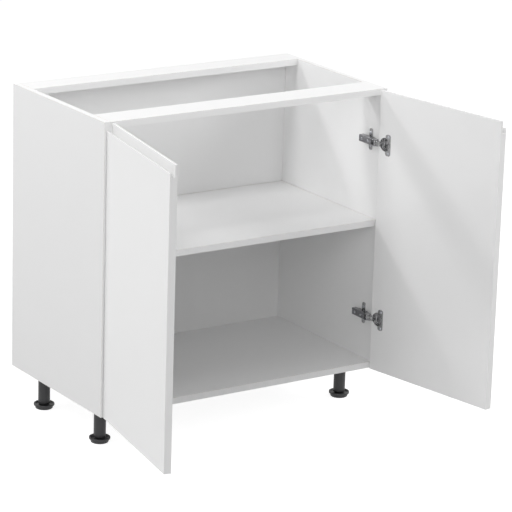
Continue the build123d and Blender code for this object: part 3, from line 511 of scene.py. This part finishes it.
def carve(mesh: Mesh, tools: Iterable[Mesh]) -> None:
    """Takes the tools' volume out of a mesh, and frees the tools.

    Args:
        mesh: Closed mesh that is cut.
        tools: Closed shapes that cut it, clear of each other.
    """
    blanks = [add_object("blank", mesh.copy()), add_object("tools", joined(tools))]
    cut = blanks[0].modifiers.new("cut", "BOOLEAN")
    cut.operation = "DIFFERENCE"
    cut.solver = "EXACT"
    cut.object = blanks[1]
    solved = blanks[0].evaluated_get(bpy.context.evaluated_depsgraph_get())
    mesh.clear()
    mesh.from_mesh(solved.to_mesh())
    solved.to_mesh_clear()
    for blank in blanks:
        bpy.data.meshes.remove(blank.data)


def merged_copy(node: str) -> Mesh:
    """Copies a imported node's mesh and joins its loose triangles into flat faces.

    Args:
        node: Name of the node.

    Returns:
        The copy.
    """
    mesh = bmesh.new()
    mesh.from_mesh(frame["nodes"][node].data)
    bmesh.ops.remove_doubles(mesh, verts=mesh.verts, dist=WELD)
    bmesh.ops.dissolve_limit(mesh, angle_limit=FLAT_ANGLE, verts=mesh.verts, edges=mesh.edges)
    return mesh


def loose_boxes(node: str) -> list[tuple[Vector, Vector]]:
    """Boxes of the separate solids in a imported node.

    Args:
        node: Name of the node.

    Returns:
        Lowest and highest corner of each solid.
    """
    mesh = merged_copy(node)
    known = set()
    boxes = []
    for start in mesh.verts:
        if start in known:
            continue
        found = {start}
        waiting = [start]
        while waiting:
            vert = waiting.pop()
            near = {edge.other_vert(vert) for edge in vert.link_edges} - found
            found |= near
            waiting += near
        known |= found
        axes = list(zip(*(vert.co for vert in found)))
        boxes.append((Vector(map(min, axes)), Vector(map(max, axes))))
    mesh.free()
    return boxes


def paint(mesh: Mesh, index: int, test: Callable[[bmesh.types.BMFace], bool]) -> None:
    """Gives a finish, by its index, to the faces that pass a test."""
    for face in filter(test, mesh.faces):
        face.material_index = index


@dataclass
class Piece:
    """One object of the model, from its shaped mesh to its place in the frame."""

    name: str
    body: str
    mesh: Mesh
    finishes: tuple[Finish, ...]
    replaces: str
    softening: float = 0.0
    softening_steps: int = 3

    def place(self, matrix: Matrix = HERE) -> None:
        """Makes the object, softens its edges, and hands it to its body.

        Args:
            matrix: Takes the mesh from its own axes to its place.
        """
        made = add_object(self.name, moved(self.mesh, matrix))
        data = made.data
        for finish in self.finishes:
            data.materials.append(finish.material())
        data.shade_smooth()
        data.set_sharp_from_angle(angle=SHARP_ANGLE)
        if self.softening:
            soften = made.modifiers.new("soft_edges", "BEVEL")
            soften.width = self.softening
            soften.segments = self.softening_steps
            soften.limit_method = "ANGLE"
            soften.angle_limit = SHARP_ANGLE
            soften.harden_normals = True
        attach(made, self.body)
        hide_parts(self.replaces)
        LOG.info("piece %s rides on %s, %d faces", self.name, self.body, len(data.polygons))


def place_copy(node: str, ending: str, body: str, finish: Finish, softening: float) -> None:
    """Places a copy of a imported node, named with an ending, that has softened edges."""
    Piece(node + ending, body, merged_copy(node), (finish,), node, softening).place()


def dress_frame() -> None:
    """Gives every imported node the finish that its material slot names."""
    finish_of = {finish.slot: finish for finish in PLAIN_FINISHES}
    for part in frame["record"]["subparts"]:
        data = frame["nodes"][part["node"]].data
        finish = finish_of[part["material_slot"]]
        data.materials.clear()
        data.materials.append(finish.material())
        LOG.info("node %s is %s", part["node"], finish.name)


# ---- carcass
class Side(Enum):
    """Face of a board: the axis that it looks along, and which way."""

    LEFT = (0, -1)
    RIGHT = (0, 1)
    FRONT = (1, -1)
    REAR = (1, 1)
    BELOW = (2, -1)
    TOP = (2, 1)


@dataclass
class Board:
    """Melamine-faced chipboard panel, with edge bands on some sides and sawn on others."""

    node: str
    banded: tuple[Side, ...]
    sawn: tuple[Side, ...]
    cam_bores: bool = False
    groove: bool = True
    band: float = mm(0.8)
    bore_clearance: float = mm(0.1)
    groove_clearance: float = mm(0.2)
    core_softening: float = mm(0.12)
    band_softening: float = mm(0.35)
    low: Vector = field(init=False)
    high: Vector = field(init=False)

    def build(self) -> None:
        """Makes the edge bands, and the core between the corners that they leave."""
        self.low, self.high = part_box(self.node)
        for side in self.banded:
            axis, way = side.value
            band_low, band_high = self.low.copy(), self.high.copy()
            if way < 0:
                self.low[axis] += self.band
                band_high[axis] = self.low[axis]
            else:
                self.high[axis] -= self.band
                band_low[axis] = self.high[axis]
            name = f"{self.node}_{side.name.lower()}_band"
            strip = slab(band_low, band_high)
            Piece(name, "carcass", strip, (BAND_WHITE,), self.node, self.band_softening).place()
        core = slab(self.low, self.high)
        tools = self.cutting_tools()
        if tools:
            carve(core, tools)
        paint(core, 1, self.is_raw)
        finishes = (BOARD_WHITE, CHIPBOARD)
        Piece(self.node + "_core", "carcass", core, finishes, self.node, self.core_softening, 2).place()

    def cutting_tools(self) -> list[Mesh]:
        """Shapes that cut the cam bores and the groove for the back panel.

        Returns:
            The tools, none where nothing is cut.
        """
        tools = []
        for low, high in loose_boxes("cam_housings") if self.cam_bores else ():
            middle = (low + high) / 2
            if all(self.low[i] < middle[i] < self.high[i] for i in range(3)):
                start = (middle.x, middle.y, self.low.z - self.band)
                end = (middle.x, middle.y, high.z + self.bore_clearance)
                tools.append(rod(start, end, (high.x - low.x) / 2 + self.bore_clearance))
        if self.groove:
            clear = Vector((self.groove_clearance,) * 3)
            low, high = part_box("back_panel")
            tools.append(slab(low - clear, high + clear))
        return tools

    def is_raw(self, face: bmesh.types.BMFace) -> bool:
        """Whether a face of the core shows raw chipboard.

        Args:
            face: Face of the core.

        Returns:
            True in bores and grooves, on the sawn sides and behind the edge bands.
        """
        middle = face.calc_center_median()
        for side in Side:
            axis, way = side.value
            limit = self.low[axis] if way < 0 else self.high[axis]
            if abs(middle[axis] - limit) < ON_SIDE:
                return side in self.sawn or side in self.banded
        return True


@dataclass
class Carcass:
    """The six boards, the thin back, and the pins, cams, bolts and dowels."""

    boards: tuple[Board, ...] = (
        Board("left_side_panel", (Side.FRONT, Side.TOP, Side.BELOW), (Side.REAR,)),
        Board("right_side_panel", (Side.FRONT, Side.TOP, Side.BELOW), (Side.REAR,)),
        Board("bottom_panel", (Side.FRONT,), (Side.REAR, Side.LEFT, Side.RIGHT), cam_bores=True),
        Board("front_rail", (Side.FRONT, Side.REAR), (Side.LEFT, Side.RIGHT), cam_bores=True, groove=False),
        Board("back_rail", (Side.FRONT,), (Side.REAR, Side.LEFT, Side.RIGHT), cam_bores=True),
        Board("shelf", (Side.FRONT,), (Side.REAR, Side.LEFT, Side.RIGHT), groove=False),
    )
    connectors: tuple[tuple[str, Finish, float], ...] = (
        ("shelf_pins", NICKEL, mm(0.4)),
        ("cam_housings", ZINC_CAST, mm(0.25)),
        ("cam_bolts", ZINC, mm(0.25)),
        ("wood_dowels", BEECH, mm(0.8)),
    )
    back_softening: float = mm(0.2)

    def build(self) -> None:
        """Builds the boards, the back and the connectors."""
        for board in self.boards:
            board.build()
        # The back is white inside, and raw hardboard behind and round its edges.
        low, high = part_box("back_panel")
        panel = slab(low, high)
        paint(panel, 1, lambda face: face.calc_center_median().y > low.y + ON_SIDE)
        finishes = (BACK_WHITE, BACK_BROWN)
        Piece("back_sheet", "carcass", panel, finishes, "back_panel", self.back_softening).place()
        for node, finish, softening in self.connectors:
            place_copy(node, "_softened", "carcass", finish, softening)


# ---- left and right
class Hand(Enum):
    """Side of the cabinet that a door or a hinge is on."""

    LEFT = "left"
    RIGHT = "right"

    def on_side(self, height: float, inwards: float = 0.0, ahead: float = 0.0) -> Matrix:
        """Takes a shape from the side panel's outer front corner to its place on this side.

        Args:
            height: Height at which the shape's own origin goes.
            inwards: How far inwards of the corner it goes.
            ahead: How far ahead of the corner it goes.

        Returns:
            The matrix, with a mirror in it for the right-hand side.
        """
        low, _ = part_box("left_side_panel")
        mirror = Matrix.Diagonal((1.0 if self is Hand.LEFT else -1.0, 1.0, 1.0, 1.0))
        return mirror @ Matrix.Translation((low.x + inwards, low.y - ahead, height))

    def on_door(self, height: float = 0.0) -> Matrix:
        """Takes a shape from the shut door's own axes to the open door on this side.

        In those axes X runs along the door from its hinge edge, Y out of its inner face.

        Args:
            height: Height at which the shape's own origin goes.

        Returns:
            The matrix, with a mirror in it for the right-hand side.
        """
        turn = Matrix.Rotation(-Door.open_angle, 4, "Z")
        return self.on_side(height, Door.corner_inwards, Door.corner_ahead) @ turn


@dataclass
class Door:
    """Lacquered board with a J-shaped finger groove along its top and two cup bores.

    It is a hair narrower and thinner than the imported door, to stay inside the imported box. Its
    hinge corner stands inwards and ahead of the side panel's outer front corner.
    """

    hand: Hand
    corner_inwards: float = mm(22.9)
    corner_ahead: float = mm(4.95)
    open_angle: float = math.radians(100.0)
    width: float = mm(395.8)
    thickness: float = mm(17.83)
    back_wall: float = mm(5.8)
    groove_width: float = mm(8.4)
    groove_bottom: float = mm(31.0)
    groove_rounding: float = 0.499
    lip_below_top: float = mm(18.5)
    lip_radius: float = mm(1.6)
    profile_steps: int = 10
    edge_softening: float = mm(0.9)
    cup_from_edge: float = mm(21.5)
    cup_bore: float = mm(17.5)
    cup_bore_depth: float = mm(13.2)

    def build(self) -> None:
        """Draws the J-shaped section out along the door's width, and bores it for the cups."""
        node = self.hand.value + "_door"
        low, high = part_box(node)
        lip_inner = self.back_wall + self.groove_width
        lip_top = high.z - self.lip_below_top
        floor = high.z - self.groove_bottom
        section = (
            (0.0, low.z),
            (self.thickness, low.z),
            (self.thickness, lip_top),
            (lip_inner, lip_top),
            (lip_inner, floor),
            (self.back_wall, floor),
            (self.back_wall, high.z),
            (0.0, high.z),
        )
        corners = [(0.0, -depth, height) for depth, height in section]
        lip = (slice(2, 4), self.lip_radius, self.profile_steps)
        groove_floor = (slice(4, 6), self.groove_width * self.groove_rounding, self.profile_steps)
        board = extruded(corners, (lip, groove_floor), (self.width, 0.0, 0.0))
        bores = []
        for level in HingeLevel:
            height = level.height(self.hand)
            start, end = ((self.cup_from_edge, y, height) for y in (-self.cup_bore_depth, self.thickness))
            bores.append(rod(start, end, self.cup_bore))
        carve(board, bores)
        piece = Piece(node + "_leaf", node, board, (DOOR_WHITE,), node, self.edge_softening, 4)
        piece.place(self.hand.on_door())


# ---- hinges
class HingeLevel(Enum):
    """Which of a door's two hinges."""

    UPPER = "upper"
    LOWER = "lower"

    def height(self, hand: Hand) -> float:
        """Height of the hinge's middle, read from its packed arm."""
        low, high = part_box(f"{hand.value}_{self.value}_hinge_arm")
        return (low.z + high.z) / 2


@dataclass(frozen=True)
class Screw:
    """Pan-head screw with a cross recess, along Z with its seat at nought."""

    head_radius: float
    head_height: float
    shank_radius: float
    shank_length: float
    rim_share: float = 0.45
    crown_share: float = 0.7
    rounding: float = mm(0.15)
    steps: int = 32
    recess_arm: float = mm(1.9)
    recess_width: float = mm(0.9)
    recess_depth: float = mm(0.8)

    def mesh(self) -> Mesh:
        """Turns the screw, head upwards, and cuts its recess.

        Returns:
            The screw's mesh.
        """
        outline = (
            (0.0, -self.shank_length),
            (self.shank_radius, -self.shank_length),
            (self.shank_radius, 0.0),
            (self.head_radius, 0.0),
            (self.head_radius, self.head_height * self.rim_share),
            (self.head_radius * self.crown_share, self.head_height),
            (0.0, self.head_height),
        )
        shape = turned(outline, self.rounding, self.steps)
        bottom, top = self.head_height - self.recess_depth, 2 * self.head_height
        arm, half = self.recess_arm, self.recess_width / 2
        for x, y in ((arm, half), (half, arm)):
            carve(shape, [slab((-x, -y, bottom), (x, y, top))])
        return shape


def place_screws(node: str, body: str, screw: Screw, seats: Iterable[Matrix]) -> None:
    """Places one piece with a copy of a screw in each seat.

    Args:
        node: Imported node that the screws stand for.
        body: Body that they ride on.
        screw: The screw.
        seats: Where each copy goes.
    """
    together = joined(moved(screw.mesh(), seat) for seat in seats)
    Piece(node + "_turned", body, together, (ZINC,), node).place()


@dataclass
class Hinge:
    """Concealed hinge: mounting plate, folded arm, two pairs of links and the cup.

    The arm and plate are drawn in plan axes: X inwards from the side panel's outer face, Y
    back from its front edge and Z up from the hinge's middle. The cup is in the door's axes.
    """

    hand: Hand
    level: HingeLevel
    board: float = mm(16.0)
    sheet: float = mm(1.5)
    arm_half: float = mm(8.5)
    arm_foot: float = mm(21.5)
    arm_top: float = mm(34.5)
    arm_front: float = mm(12.0)
    arm_rear: float = mm(64.0)
    arm_softening: float = mm(0.3)
    nose_radius: float = mm(3.2)
    front_pin: Pair = (mm(25.7), mm(-1.087))
    rear_pin: Pair = (mm(30.2), mm(3.7))
    front_screw: float = mm(26.0)
    rear_screw: float = mm(52.0)
    screw_hole: float = mm(2.6)
    slot_reach: float = mm(2.5)
    fold_radius: float = mm(1.4)
    fold_steps: int = 6
    wing_width: float = mm(12.0)
    wing_height: float = mm(54.0)
    wing_thickness: float = mm(2.2)
    wing_corner: float = mm(4.0)
    wing_middle: float = mm(37.0)
    plate_front: float = mm(16.0)
    plate_rear: float = mm(60.0)
    plate_half: float = mm(6.7)
    plate_thickness: float = mm(5.0)
    plate_softening: float = mm(0.4)
    post_height: float = mm(9.0)
    post_half: float = mm(5.0)
    cup_radius: float = mm(17.3)
    cup_wall: float = mm(0.9)
    cup_depth: float = mm(13.0)
    cup_rounding: float = mm(0.4)
    cup_softening: float = mm(0.25)
    flange: Pair = (mm(23.0), mm(40.0))
    flange_half: float = mm(27.0)
    flange_thickness: float = mm(1.0)
    flange_corner: float = mm(6.0)
    flange_clear: float = mm(3.0)

    def build(self) -> None:
        """Builds the hinge's pieces on the bodies that carry them."""
        name = f"{self.hand.value}_{self.level.value}"
        height = self.level.height(self.hand)
        on_side, on_door = self.hand.on_side(height), self.hand.on_door(height)
        door = self.hand.value + "_door"
        for part, body, mesh, finish, softening, spot in (
            # The arm takes the nickel that is painted darker, as painted shade and painted dark reflection.
            ("arm", "carcass", self.arm(), ARM_NICKEL_PAINTED_SHADE, self.arm_softening, on_side),
            ("plate", "carcass", self.plate(), NICKEL, self.plate_softening, on_side),
            ("cup", door, self.cup(), NICKEL, self.cup_softening, on_door),
        ):
            Piece(f"{name}_{part}", body, mesh, (finish,), f"{name}_hinge_{part}", softening).place(spot)
        for link in ("outer", "inner"):
            body = f"{self.hand.value}_{link}_links"
            place_copy(f"{name}_{link}_link", "_sheets", body, NICKEL, self.cup_softening)

    def arm(self) -> Mesh:
        """Folds the arm: a channel with rounded folds, a round nose and slots in its web.

        Returns:
            The arm in plan axes.
        """
        inner = self.arm_half - self.sheet
        web = self.arm_top - self.sheet
        section = (
            (self.arm_foot, -self.arm_half),
            (self.arm_top, -self.arm_half),
            (self.arm_top, self.arm_half),
            (self.arm_foot, self.arm_half),
            (self.arm_foot, inner),
            (web, inner),
            (web, -inner),
            (self.arm_foot, -inner),
        )
        corners = [(x, self.arm_front, z) for x, z in section]
        folds = (slice(1, 3), self.fold_radius, self.fold_steps)
        channel = extruded(corners, (folds,), (0.0, self.arm_rear - self.arm_front, 0.0))
        below, above = self.arm_top - 3 * self.sheet, self.arm_top + self.sheet
        slots = []
        for screw in (self.front_screw, self.rear_screw):
            circles = [(0.0, screw + way * self.slot_reach, self.screw_hole) for way in (-1, 1)]
            slots.append(moved(hull_plate(circles, below, above), Z_TO_X))
        carve(channel, slots)
        roots = (self.arm_foot + self.nose_radius, self.arm_top - self.nose_radius)
        centres = (*((x, self.arm_front) for x in roots), self.front_pin, self.rear_pin)
        circles = [(x, y, self.nose_radius) for x, y in centres]
        cheeks = ((inner, self.arm_half), (-self.arm_half, -inner))
        return joined([channel, *(hull_plate(circles, *cheek) for cheek in cheeks)])

    def plate(self) -> Mesh:
        """Shapes the plate: rounded wings, a raised body and two posts for the screws.

        Returns:
            The plate in plan axes.
        """
        face, half = self.board, self.wing_width / 2
        low = (face, self.wing_middle - half, -self.wing_height / 2)
        high = (face + self.wing_thickness, self.wing_middle + half, self.wing_height / 2)
        shapes = [slab(low, high, 0, self.wing_corner)]
        for thickness, front, rear in (
            (self.plate_thickness, self.plate_front, self.plate_rear),
            (self.post_height, self.front_screw - self.post_half, self.front_screw + self.post_half),
            (self.post_height, self.rear_screw - self.post_half, self.rear_screw + self.post_half),
        ):
            shapes.append(slab((face, front, -self.plate_half), (face + thickness, rear, self.plate_half)))
        return joined(shapes)

    def cup(self) -> Mesh:
        """Presses the cup, with a rounded floor and a flange whose ears take the screws.

        Returns:
            The cup in the door's axes.
        """
        inner = self.cup_radius - self.cup_wall
        floor = -self.cup_depth
        outline = (
            (0.0, floor),
            (self.cup_radius, floor),
            (self.cup_radius, self.flange_thickness),
            (inner, self.flange_thickness),
            (inner, floor + self.cup_wall),
            (0.0, floor + self.cup_wall),
        )
        into_door = Matrix.Translation((Door.cup_from_edge, 0.0, 0.0)) @ Z_TO_Y
        cup = moved(turned(outline, self.cup_rounding), into_door)
        low = (self.flange[0], 0.0, -self.flange_half)
        high = (self.flange[1], self.flange_thickness, self.flange_half)
        flange = slab(low, high, 1, self.flange_corner)
        start, end = ((Door.cup_from_edge, y, 0.0) for y in (-self.cup_wall, self.flange_clear))
        carve(flange, [rod(start, end, self.cup_radius - self.cup_wall / 2)])
        return joined((cup, flange))


@dataclass
class HingeFasteners:
    """Screws and pins of the four hinges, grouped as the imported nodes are."""

    plate_screw: Screw = Screw(mm(3.8), mm(1.5), mm(2.5), mm(6.0))
    adjust_screw: Screw = Screw(mm(3.2), mm(1.3), mm(2.3), mm(10.0))
    cup_screw: Screw = Screw(mm(3.6), mm(1.3), mm(1.8), mm(6.0))
    plate_seat: float = mm(18.3)
    adjust_seat: float = mm(34.6)
    flange_seat: float = mm(1.1)
    plate_spacing: float = mm(32.0)
    cup_spacing: float = mm(42.0)
    cup_screws_along: float = mm(32.5)
    cup_pin_softening: float = mm(0.15)
    arm_pin_softening: float = mm(0.3)

    def build(self) -> None:
        """Builds the screws of the plates, arms and cups, and the pins."""
        plates, arms = [], []
        for hand in Hand:
            cups = []
            for level in HingeLevel:
                height = level.height(hand)
                on_side, on_door = hand.on_side(height), hand.on_door(height)
                for way in (-0.5, 0.5):
                    spot = (self.plate_seat, Hinge.wing_middle, way * self.plate_spacing)
                    plates.append(on_side @ Matrix.Translation(spot) @ Z_TO_X)
                    spot = (self.cup_screws_along, self.flange_seat, way * self.cup_spacing)
                    cups.append(on_door @ Matrix.Translation(spot) @ Z_TO_Y)
                for back in (Hinge.front_screw, Hinge.rear_screw):
                    arms.append(on_side @ Matrix.Translation((self.adjust_seat, back, 0.0)) @ Z_TO_X)
            door = hand.value + "_door"
            place_screws(hand.value + "_cup_screws", door, self.cup_screw, cups)
            place_copy(hand.value + "_cup_pins", "_turned", door, NICKEL, self.cup_pin_softening)
        place_screws("hinge_plate_screws", "carcass", self.plate_screw, plates)
        place_screws("hinge_adjusting_screws", "carcass", self.adjust_screw, arms)
        place_copy("hinge_arm_pins", "_turned", "carcass", NICKEL, self.arm_pin_softening)


# ---- legs
@dataclass
class Leg:
    """Moulded leg: a ribbed socket plate, a tube, and a foot that screws up and down.

    Its own axes have the leg's middle at nought and the floor at the bottom.
    """

    name: str
    plate_half: float = mm(28.0)
    plate_thickness: float = mm(4.0)
    plate_corner: float = mm(8.0)
    socket_softening: float = mm(0.5)
    socket_bore: float = mm(15.1)
    collar_radius: float = mm(18.0)
    collar_height: float = mm(6.0)
    collar_rounding: float = mm(0.4)
    sunk_in_plate: float = mm(0.5)
    rib_drop: float = mm(11.0)
    rib_rise: float = 0.85
    rib_thickness: float = mm(2.2)
    rib_run: float = mm(26.0)
    tube_radius: float = mm(15.0)
    tube_wall: float = mm(2.2)
    tube_chamfer: float = mm(2.4)
    tube_end: float = mm(11.0)
    tube_rounding: float = mm(0.5)
    neck_bore: float = mm(9.3)
    neck_top: float = mm(25.0)
    stem_radius: float = mm(9.0)
    stem_top: float = mm(54.0)
    thread_pitch: float = mm(3.0)
    thread_depth: float = mm(0.8)
    thread_above_rim: float = mm(1.0)
    thread_sunk: float = mm(0.2)
    thread_root: float = 0.35
    thread_crest: float = 0.25
    pad_radius: float = mm(22.0)
    pad_height: float = mm(8.0)
    rim_radius: float = mm(26.0)
    rim_height: float = mm(13.0)
    dish_radius: float = mm(22.5)
    dish_floor: float = mm(9.5)
    edge: float = mm(1.5)
    foot_rounding: float = mm(0.9)

    def build(self) -> None:
        """Builds the socket, the tube and the foot."""
        socket, tube, foot = (f"{self.name}_leg_{part}" for part in ("socket", "tube", "foot"))
        low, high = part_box(socket)
        stand = Matrix.Translation(((low.x + high.x) / 2, (low.y + high.y) / 2, 0.0))
        for node, body, mesh, softening in (
            (socket, "carcass", self.socket(high.z), self.socket_softening),
            (tube, "carcass", self.tube(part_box(tube)[1].z), 0.0),
            (foot, self.name + "_foot", self.foot(), 0.0),
        ):
            Piece(node + "_moulding", body, mesh, (BLACK_PLASTIC,), node, softening).place(stand)

    def socket(self, top: float) -> Mesh:
        """Shapes the socket: a plate with rounded corners, and under it a collar and ribs.

        Args:
            top: Height of the carcass's underside.

        Returns:
            The socket in the leg's axes.
        """
        half, under = self.plate_half, top - self.plate_thickness
        plate = slab((-half, -half, under), (half, half, top), 2, self.plate_corner)
        root, end = under + self.sunk_in_plate, under - self.collar_height
        collar = (
            (self.socket_bore, root),
            (self.collar_radius, root),
            (self.collar_radius, end),
            (self.socket_bore, end),
        )
        shapes = [plate, turned(collar, self.collar_rounding)]
        for quarter in range(4):
            low = (self.socket_bore, -self.rib_thickness / 2, under - self.rib_drop)
            rib = slab(low, (self.rib_run, self.rib_thickness / 2, root))
            outer = [vert for vert in rib.verts if vert.co.x > self.collar_radius and vert.co.z < under]
            bmesh.ops.translate(rib, vec=(0.0, 0.0, self.rib_drop * self.rib_rise), verts=outer)
            shapes.append(moved(rib, Matrix.Rotation(quarter * math.pi / 2, 4, "Z")))
        return joined(shapes)

    def tube(self, top: float) -> Mesh:
        """Turns the tube, necked below round the foot's stem, with a chamfered lower end.

        Args:
            top: Height of the tube's upper end.

        Returns:
            The tube in the leg's axes.
        """
        bore = self.tube_radius - self.tube_wall
        outline = (
            (self.neck_bore, self.tube_end),
            (self.tube_radius - self.tube_chamfer, self.tube_end),
            (self.tube_radius, self.tube_end + self.tube_chamfer),
            (self.tube_radius, top),
            (bore, top),
            (bore, self.neck_top),
            (self.neck_bore, self.neck_top),
        )
        return turned(outline, self.tube_rounding)

    def foot(self) -> Mesh:
        """Turns the foot: a pad, a dished rim above it, and a threaded stem.

        Returns:
            The foot in the leg's axes.
        """
        core = self.stem_radius - self.thread_depth
        outline = (
            (0.0, 0.0),
            (self.pad_radius - self.edge, 0.0),
            (self.pad_radius, self.edge),
            (self.pad_radius, self.pad_height),
            (self.rim_radius, self.pad_height),
            (self.rim_radius, self.rim_height),
            (self.dish_radius, self.rim_height),
            (self.dish_radius - self.edge, self.dish_floor),
            (core, self.dish_floor),
            (core, self.stem_top),
            (0.0, self.stem_top),
        )
        mesh = turned(outline, self.foot_rounding)
        # The thread starts as one section and is wound up round the stem's core.
        start = self.rim_height + self.thread_above_rim
        turns = int((self.stem_top - start - self.thread_pitch) / self.thread_pitch)
        steps = turns * ROUND_STEPS // 2
        sunk, half = core - self.thread_sunk, self.thread_pitch * self.thread_root
        crest = half * self.thread_crest
        section = (
            (sunk, start - half),
            (self.stem_radius, start - crest),
            (self.stem_radius, start + crest),
            (sunk, start + half),
        )
        face = mesh.faces.new([mesh.verts.new((radius, 0.0, height)) for radius, height in section])
        rise = (0.0, 0.0, turns * self.thread_pitch / steps)
        spin(mesh, [face, *face.edges, *face.verts], steps, turns, dvec=rise)
        bmesh.ops.recalc_face_normals(mesh, faces=mesh.faces)
        return mesh


def build_legs() -> None:
    """Builds the four legs, and a screw, head down, where each packed one is."""
    for corner in ("left_front", "right_front", "left_back", "right_back"):
        Leg(corner).build()
    node = "leg_socket_screws"
    screw = Screw(mm(3.6), mm(1.2), mm(1.8), mm(6.0))
    seats = []
    for low, high in loose_boxes(node):
        middle = (low + high) / 2
        spot = Matrix.Translation((middle.x, middle.y, low.z + screw.head_height))
        seats.append(spot @ Matrix.Rotation(math.pi, 4, "X"))
    place_screws(node, "carcass", screw, seats)


# ---- studio
@dataclass(frozen=True)
class SoftBox:
    """A square area lamp aimed at the cabinet."""

    name: str
    azimuth_deg: float
    elevation_deg: float
    distance: float
    side: float
    power: float

    def build(self, target: Vector) -> None:
        """Places the lamp round the target and turns it to face it.

        Args:
            target: Point that the lamp looks at.
        """
        data = bpy.data.lights.new(self.name, "AREA")
        data.shape = "SQUARE"
        data.size = self.side
        data.energy = self.power
        lamp = add_object(self.name, data)
        azimuth, elevation = math.radians(self.azimuth_deg), math.radians(self.elevation_deg)
        level = math.cos(elevation)
        back = Vector((math.sin(azimuth) * level, -math.cos(azimuth) * level, math.sin(elevation)))
        lamp.location = target + back * self.distance
        lamp.rotation_euler = (-back).to_track_quat("-Z", "Y").to_euler()


@dataclass
class Studio:
    """Pale floor, white surroundings, soft lamps and the camera of the photograph."""

    photo_side_px: float = 512.0
    sensor_mm: float = 36.0
    focal_px: float = 2800.0
    camera_place: Point = (-3.5664, -5.4293, 2.3566)
    camera_yaw: float = 0.5868
    camera_pitch: float = 0.2874
    camera_roll: float = 0.0308
    white: str = "#FFFFFF"
    floor_side: float = 60.0
    floor_colour: str = "#C8C8C8"
    seen_floor_colour: str = "#ADADAD"
    floor_glow: float = 0.88
    world_light: float = 0.24
    target: Point = (0.0, 0.0, 0.45)
    lamps: tuple[SoftBox, ...] = (
        SoftBox("rear_left_key", -140.0, 40.0, 3.5, 0.5, 25.0),
        SoftBox("left_above", -98.0, 50.0, 3.5, 0.7, 31.0),
        SoftBox("overhead", 0.0, 75.0, 3.5, 1.0, 6.0),
        SoftBox("front", -15.0, 35.0, 4.0, 2.0, 18.0),
        SoftBox("front_left", -45.0, 20.0, 4.0, 2.0, 26.0),
        SoftBox("front_right", 72.0, 33.0, 3.5, 1.8, 72.0),
        SoftBox("back_left", -120.0, 25.0, 3.5, 1.6, 10.0),
    )

    def build(self) -> None:
        """Sets up the whole studio."""
        self.build_floor()
        self.build_world()
        for lamp in self.lamps:
            lamp.build(Vector(self.target))
        self.build_camera()
        bpy.context.scene.view_settings.view_transform = "Standard"

    def build_floor(self) -> None:
        """Large pale floor, white to the camera where the cabinet doesn't shade it."""
        mesh = bmesh.new()
        bmesh.ops.create_grid(mesh, x_segments=1, y_segments=1, size=self.floor_side / 2)
        floor = add_object("floor", mesh)
        material = bpy.data.materials.new("pale_matt_floor")
        material.use_nodes = True
        tree = material.node_tree
        tree.nodes.clear()
        matt, shaded = (
            add_node(tree, "ShaderNodeBsdfDiffuse", inputs={"Color": linear_colour(colour)}).outputs[0]
            for colour in (self.floor_colour, self.seen_floor_colour)
        )
        inputs = {"Color": linear_colour(self.white), "Strength": self.floor_glow}
        glow = add_node(tree, "ShaderNodeEmission", inputs=inputs)
        bright = add_node(tree, "ShaderNodeAddShader", inputs={0: glow.outputs[0], 1: shaded})
        self.finish_tree(tree, matt, bright.outputs[0], "ShaderNodeOutputMaterial")
        floor.data.materials.append(material)

    def build_world(self) -> None:
        """World that lights softly and looks white."""
        world = bpy.data.worlds.new("studio")
        bpy.context.scene.world = world
        world.use_nodes = True
        tree = world.node_tree
        tree.nodes.clear()
        light, shown = (
            add_node(
                tree,
                "ShaderNodeBackground",
                inputs={"Color": linear_colour(self.white), "Strength": strength},
            ).outputs[0]
            for strength in (self.world_light, 1.0)
        )
        self.finish_tree(tree, light, shown, "ShaderNodeOutputWorld")

    def finish_tree(self, tree: Tree, lighting: Socket, shown: Socket, output: str) -> None:
        """Ends a tree with one shader for what is lit by it and one for what sees it.

        Rays that show a picture, by eye, mirror or glass, see the second.

        Args:
            tree: Tree of the floor or the world.
            lighting: Shader that lights the cabinet.
            shown: Shader that is seen.
            output: Type name of the tree's output node.
        """
        path = add_node(tree, "ShaderNodeLightPath")
        maximum = {"operation": "MAXIMUM"}
        mirrors = {0: path.outputs["Is Glossy Ray"], 1: path.outputs["Is Transmission Ray"]}
        mirror = add_node(tree, "ShaderNodeMath", maximum, mirrors)
        eyes = {0: path.outputs["Is Camera Ray"], 1: mirror.outputs[0]}
        seen = add_node(tree, "ShaderNodeMath", maximum, eyes)
        mix = {"Fac": seen.outputs[0], 1: lighting, 2: shown}
        mixed = add_node(tree, "ShaderNodeMixShader", inputs=mix)
        add_node(tree, output, inputs={"Surface": mixed.outputs[0]})

    def build_camera(self) -> None:
        """Camera at the photograph's viewing angle, worked out from the cabinet's edges."""
        data = bpy.data.cameras.new("camera")
        data.sensor_width = self.sensor_mm
        data.lens = self.focal_px / self.photo_side_px * self.sensor_mm
        camera = add_object("camera", data)
        across, along = math.cos(self.camera_yaw), math.sin(self.camera_yaw)
        level, drop = math.cos(self.camera_pitch), math.sin(self.camera_pitch)
        ahead = Vector((along * level, across * level, -drop))
        flat_right = Vector((across, -along, 0.0))
        flat_up = flat_right.cross(ahead)
        turn, lean = math.cos(self.camera_roll), math.sin(self.camera_roll)
        right = turn * flat_right + lean * flat_up
        up = turn * flat_up - lean * flat_right
        axes = Matrix((right, up, -ahead)).transposed().to_4x4()
        camera.matrix_world = Matrix.Translation(self.camera_place) @ axes
        bpy.context.scene.camera = camera


def main() -> None:
    """Builds the cabinet's pieces in order, then the studio round them."""
    logging.basicConfig(level=logging.INFO, format="%(name)s %(message)s")
    dress_frame()
    Carcass().build()
    for hand in Hand:
        Door(hand).build()
        for level in HingeLevel:
            Hinge(hand, level).build()
    HingeFasteners().build()
    build_legs()
    Studio().build()


if __name__ == "__main__":
    main()
